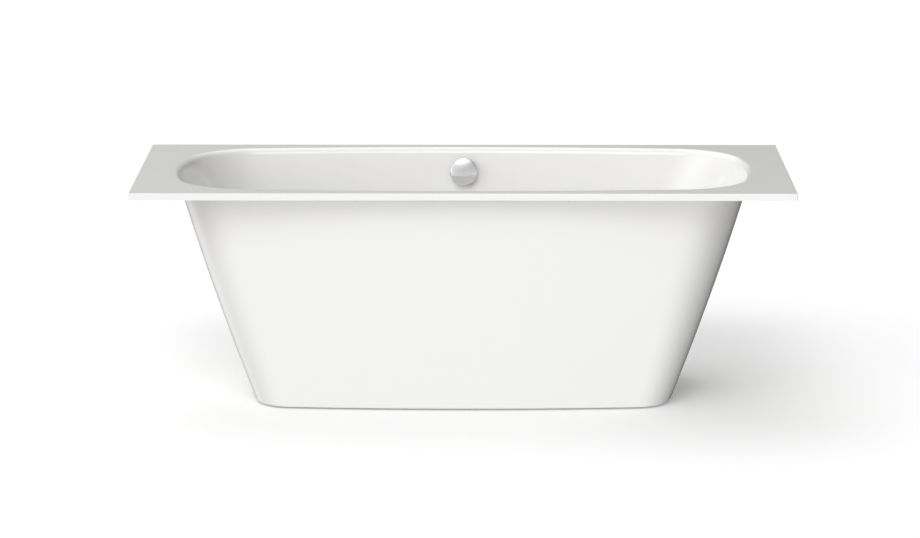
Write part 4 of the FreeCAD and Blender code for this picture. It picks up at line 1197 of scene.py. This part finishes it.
class BATHTUB_OT_stage(bpy.types.Operator):
    """Sets up the floor, the soft lights and the camera"""
    bl_idname = "bathtub.stage"
    bl_label = "Studio"
    sensor_width = 36.0
    view_reach = 200.0
    # Azimuth from the front and elevation of each soft light in degrees, and how narrow it is
    soft_lights = {"key": (-8, 46, 30.0), "left": (-60, 10, 8.0), "front": (0, -10, 2.0),
                   "rear": (-150, 50, 6.0), "top": (180, 70, 6.0), "bounce": (45, -25, 6.0),
                   "rear_bounce": (-140, -20, 10.0)}

    def execute(self, context):
        studio = settings("studio")
        self.floor(studio)
        self.lights(studio)
        self.camera(studio)
        return {"FINISHED"}

    def floor(self, studio):
        """Wide floor that only the camera sees, with no bounce or shadow of its own."""
        builder = bmesh.new()
        bmesh.ops.create_grid(builder, x_segments=1, y_segments=1, size=studio.floor_size / 2)
        floor = new_object("studio_floor", builder)
        finish = Finish("floor_white", base_color=(*studio.floor_colour, 1.0), roughness=1.0,
                        specular_ior_level=0.0, emission_color=(1.0, 1.0, 1.0, 1.0),
                        emission_strength=studio.floor_glow)
        floor.data.materials.append(finish.material)
        floor.visible_diffuse = False
        floor.visible_glossy = False
        floor.visible_shadow = False

    def lights(self, studio):
        """Soft lights far away, each brightest in one direction and fading all round it."""
        world = bpy.data.worlds.new("studio_sky")
        world.use_nodes = True
        nodes = Nodes(world.node_tree)
        ray = nodes.add("ShaderNodeTexCoord", {}, {}, "Generated")
        light = studio.even
        for name, (azimuth, elevation, focus) in self.soft_lights.items():
            turn, rise = math.radians(azimuth), math.radians(elevation)
            towards = (math.sin(turn) * math.cos(rise), -math.cos(turn) * math.cos(rise), math.sin(rise))
            facing = nodes.add("ShaderNodeVectorMath", {"operation": "DOT_PRODUCT"},
                               {0: ray, 1: towards}, "Value")
            near = nodes.add("ShaderNodeMath", {"operation": "MAXIMUM"}, {0: facing, 1: 0.0})
            light = near ** focus * getattr(studio, name) + light
        sky = world.node_tree.nodes["Background"]
        sky.inputs["Color"].default_value = (1.0, 1.0, 1.0, 1.0)
        nodes.feed(sky.inputs["Strength"], light)
        bpy.context.scene.world = world
        bpy.context.scene.view_settings.view_transform = "Standard"

    def camera(self, studio):
        """Camera that stands where the photo was taken from; its lens is set in millimetres."""
        data = bpy.data.cameras.new("photo_camera")
        data.sensor_width = self.sensor_width
        data.lens = studio.lens * 1000
        data.clip_end = self.view_reach
        camera = bpy.data.objects.new("photo_camera", data)
        camera.location = studio.camera_place
        camera.rotation_euler = (RIGHT_ANGLE - studio.camera_tilt, 0.0, -studio.camera_pan)
        bpy.context.scene.collection.objects.link(camera)
        bpy.context.scene.camera = camera


groups = {"shell": ShellSizes, "skirt": SkirtSizes, "fittings": FittingSizes, "colours": FinishColours,
          "studio": StudioSettings}
operators = (BATHTUB_OT_shell, BATHTUB_OT_skirt, BATHTUB_OT_boards, BATHTUB_OT_rails, BATHTUB_OT_feet,
             BATHTUB_OT_screws, BATHTUB_OT_nuts, BATHTUB_OT_drain, BATHTUB_OT_waste, BATHTUB_OT_seals,
             BATHTUB_OT_knob, BATHTUB_OT_mechanism, BATHTUB_OT_cable, BATHTUB_OT_stage)


class BATHTUB_PT_panel(bpy.types.Panel):
    """Lists the operators and the sizes and colours that they use"""
    bl_idname = "BATHTUB_PT_panel"
    bl_label = "Built-in Bathtub"
    bl_space_type = "VIEW_3D"
    bl_region_type = "UI"
    bl_category = "Bathtub"

    def draw(self, context):
        for operator in operators:
            self.layout.operator(operator.bl_idname)
        for group, kind in groups.items():
            box = self.layout.box()
            for name in kind.__annotations__:
                box.prop(settings(group), name)


def register():
    for kind in (*groups.values(), *operators, BATHTUB_PT_panel):
        bpy.utils.register_class(kind)
    for group, kind in groups.items():
        setattr(bpy.types.Scene, "bathtub_" + group, PointerProperty(type=kind))


def unregister():
    for group in groups:
        delattr(bpy.types.Scene, "bathtub_" + group)
    for kind in (BATHTUB_PT_panel, *reversed(operators), *reversed(groups.values())):
        bpy.utils.unregister_class(kind)


def main():
    register()
    for operator in operators:
        family, name = operator.bl_idname.split(".")
        getattr(getattr(bpy.ops, family), name)()


if __name__ == "__main__":
    main()
